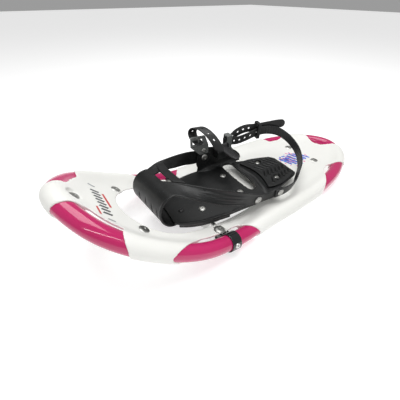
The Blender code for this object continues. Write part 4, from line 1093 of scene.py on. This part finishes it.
def decal(name, shapes, mat, tree, lift=0.00012):
    """Thin printed shapes laid on the deck."""
    verts = []
    faces = []
    for shape in shapes:
        start = len(verts)
        centre = np.mean(shape, axis=0)
        rings = 4
        for r in range(rings, 0, -1):
            for x, y in shape:
                share = r / rings
                verts.append((centre[0] + (x - centre[0]) * share, centre[1] + (y - centre[1]) * share))
        verts.append(tuple(centre))
        n = len(shape)
        for r in range(rings - 1):
            for j in range(n):
                k = (j + 1) % n
                faces.append((start + r * n + j, start + r * n + k, start + (r + 1) * n + k,
                              start + (r + 1) * n + j))
        for j in range(n):
            faces.append((start + (rings - 1) * n + j, start + (rings - 1) * n + (j + 1) % n,
                          start + rings * n))
    placed = []
    for x, y in verts:
        hit, normal, _, _ = tree.ray_cast(Vector((x, y, 0.3)), Vector((0, 0, -1)))
        placed.append(hit + normal * lift)
    mesh = bpy.data.meshes.new(name)
    mesh.from_pydata(placed, [], faces)
    if mesh.polygons[0].normal.z < 0:
        mesh.flip_normals()
    finish_piece(linked(name, mesh), mat, "shoe", "deck")


def blob(random, x, y, size, points=14):
    shape = []
    for c, s in circle(points):
        r = size * random.uniform(0.62, 1.15)
        shape.append((x + r * c, y + r * s))
    return shape


def stroke(x, y, long, wide, lean, points=6, ragged=None):
    c, s = cos(lean), sin(lean)
    outline = [(long * (i / points - 0.5), -wide / 2) for i in range(points + 1)]
    outline += [(long * (0.5 - i / points), wide / 2) for i in range(points + 1)]
    if ragged is not None:
        outline = [(a + ragged.uniform(-0.0010, 0.0010), b + ragged.uniform(-0.0008, 0.0008))
                   for a, b in outline]
    return [(x + a * c - b * s, y + a * s + b * c) for a, b in outline]


MARKS_Y = 0.2275
SPLASH_LEAN = radians(14)


def make_decals(deck):
    work = bmesh.new()
    work.from_mesh(deck.data)
    tree = BVHTree.FromBMesh(work)
    work.free()
    lean = radians(62)
    bars = [stroke(-0.024 + 0.0069 * i, MARKS_Y, 0.0082, 0.0036, lean) for i in range(8)]
    lines = [stroke(0.006, 0.2205, 0.030, 0.0022, 0.0), stroke(-0.020, 0.2345, 0.016, 0.0018, 0.0)]
    ends = [stroke(x, MARKS_Y, 0.0065, 0.0030, lean) for x in (-0.0365, 0.0370)]
    decal("nose_marks", bars, INK_DARK, tree)
    decal("nose_accent", lines, INK_RED, tree)
    decal("nose_ends", ends, INK_GREY, tree)
    random = np.random.RandomState(11)
    blue = []
    pink = []
    for i in range(7):
        y = -0.172 + 0.0082 * i
        x = -0.004 + random.uniform(-0.004, 0.004)
        blue.append(stroke(x, y, 0.034 - 0.002 * abs(i - 3), 0.0046, SPLASH_LEAN, 10, random))
    for i in range(46):
        turn = random.uniform(0, 2 * pi)
        far = random.uniform(0.5, 1.0)
        x = -0.004 + 0.026 * far * cos(turn)
        y = -0.147 + 0.034 * far * sin(turn)
        (blue if i % 3 == 0 else pink).append(blob(random, x, y, random.uniform(0.0007, 0.0024)))
    for i in range(6):
        y = -0.168 + 0.0084 * i
        x = 0.002 + random.uniform(-0.008, 0.008)
        pink.append(stroke(x, y, 0.022, 0.0022, SPLASH_LEAN, 8, random))
    decal("tail_splash_pink", pink, INK_PINK, tree, 0.00010)
    decal("tail_splash_blue", blue, INK_BLUE, tree, 0.00016)


# ---------------- kept CAD nodes

def dress_kept_nodes():
    looks = {"heel_crampon": STEEL, "toe_crampon": STEEL, "pivot_axle": STEEL, "lever_pin": STEEL,
             "pivot_bush_l": BUSH, "pivot_bush_r": BUSH}
    for node, mat in looks.items():
        NODES[node].data.materials.clear()
        NODES[node].data.materials.append(mat)


# ---------------- stage

FLOOR_HALF = 6.0
FLOOR_DROP = 0.0004


def make_floor():
    mat, tree, shader, coords = new_material("floor")
    cloud = noise(tree, coords, 3.0)
    tree.links.new(blend_colours(tree, cloud, (0.64, 0.64, 0.64), (0.66, 0.66, 0.66)),
                   shader.inputs["Base Color"])
    set_inputs(shader, {"Roughness": 0.9, "Specular IOR Level": 0.1, "Emission Color": (1, 1, 1, 1),
                        "Emission Strength": 0.56})
    mesh = bpy.data.meshes.new("floor")
    corners = [(-1, -1), (1, -1), (1, 1), (-1, 1)]
    mesh.from_pydata([(x * FLOOR_HALF, y * FLOOR_HALF, 0) for x, y in corners], [], [(0, 1, 2, 3)])
    floor = linked("floor", mesh)
    floor.location.z = -FLOOR_DROP
    mesh.materials.append(mat)


def lamp(name, place, target, size, power):
    light = bpy.data.lights.new(name, 'AREA')
    light.shape = 'RECTANGLE'
    light.size, light.size_y = size
    light.energy = power
    place = Vector(place)
    linked(name, light).matrix_world = aimed(place, place - Vector(target), (0, 1, 0))


def make_lights():
    world = bpy.data.worlds.new("world")
    bpy.context.scene.world = world
    world.use_nodes = True
    set_inputs(world.node_tree.nodes["Background"], {"Color": (1, 1, 1, 1), "Strength": 0.33})
    lamp("top_softbox", (0.15, -0.1, 1.3), (0, 0, 0), (1.0, 1.2), 15.2)
    lamp("strip", (-0.75, 0.35, 0.85), (0, 0.05, 0), (0.05, 1.4), 3.2)
    lamp("side_fill", (-1.3, -0.5, 0.8), (0, 0, 0), (0.8, 0.8), 0.5)


CAMERA_TARGET = Vector((0.0201, 0.0717, 0))
CAMERA_DISTANCE = 0.4125
CAMERA_ANGLES = [radians(a) for a in (-125.88, 41.64, 0.36)]
CAMERA_SENSOR = 36.0
CAMERA_LENS = 21.0996


def make_camera():
    data = bpy.data.cameras.new("camera")
    data.sensor_width = CAMERA_SENSOR
    data.lens = CAMERA_LENS
    data.clip_start = 0.01
    az, el, roll = CAMERA_ANGLES
    back = Vector((sin(az) * cos(el), -cos(az) * cos(el), sin(el)))
    place = CAMERA_TARGET + back * CAMERA_DISTANCE
    right = (-back).cross(Vector((0, 0, 1))).normalized()
    up = right.cross(-back)
    across = right * cos(roll) + up * sin(roll)
    above = -right * sin(roll) + up * cos(roll)
    camera = linked("camera", data)
    camera.matrix_world = Matrix.Translation(place) @ Matrix((across, above, back)).transposed().to_4x4()
    bpy.context.scene.camera = camera


make_camera()
make_lights()
make_floor()
bpy.context.scene.view_settings.view_transform = 'Standard'
make_tube()
make_decals(make_deck())
make_deck_rivets()
make_clamps()
make_footbed()
make_heel_pad()
make_toe_cap()
make_binding_rivets()
make_heel_strap()
make_instep()
make_lever()
dress_kept_nodes()
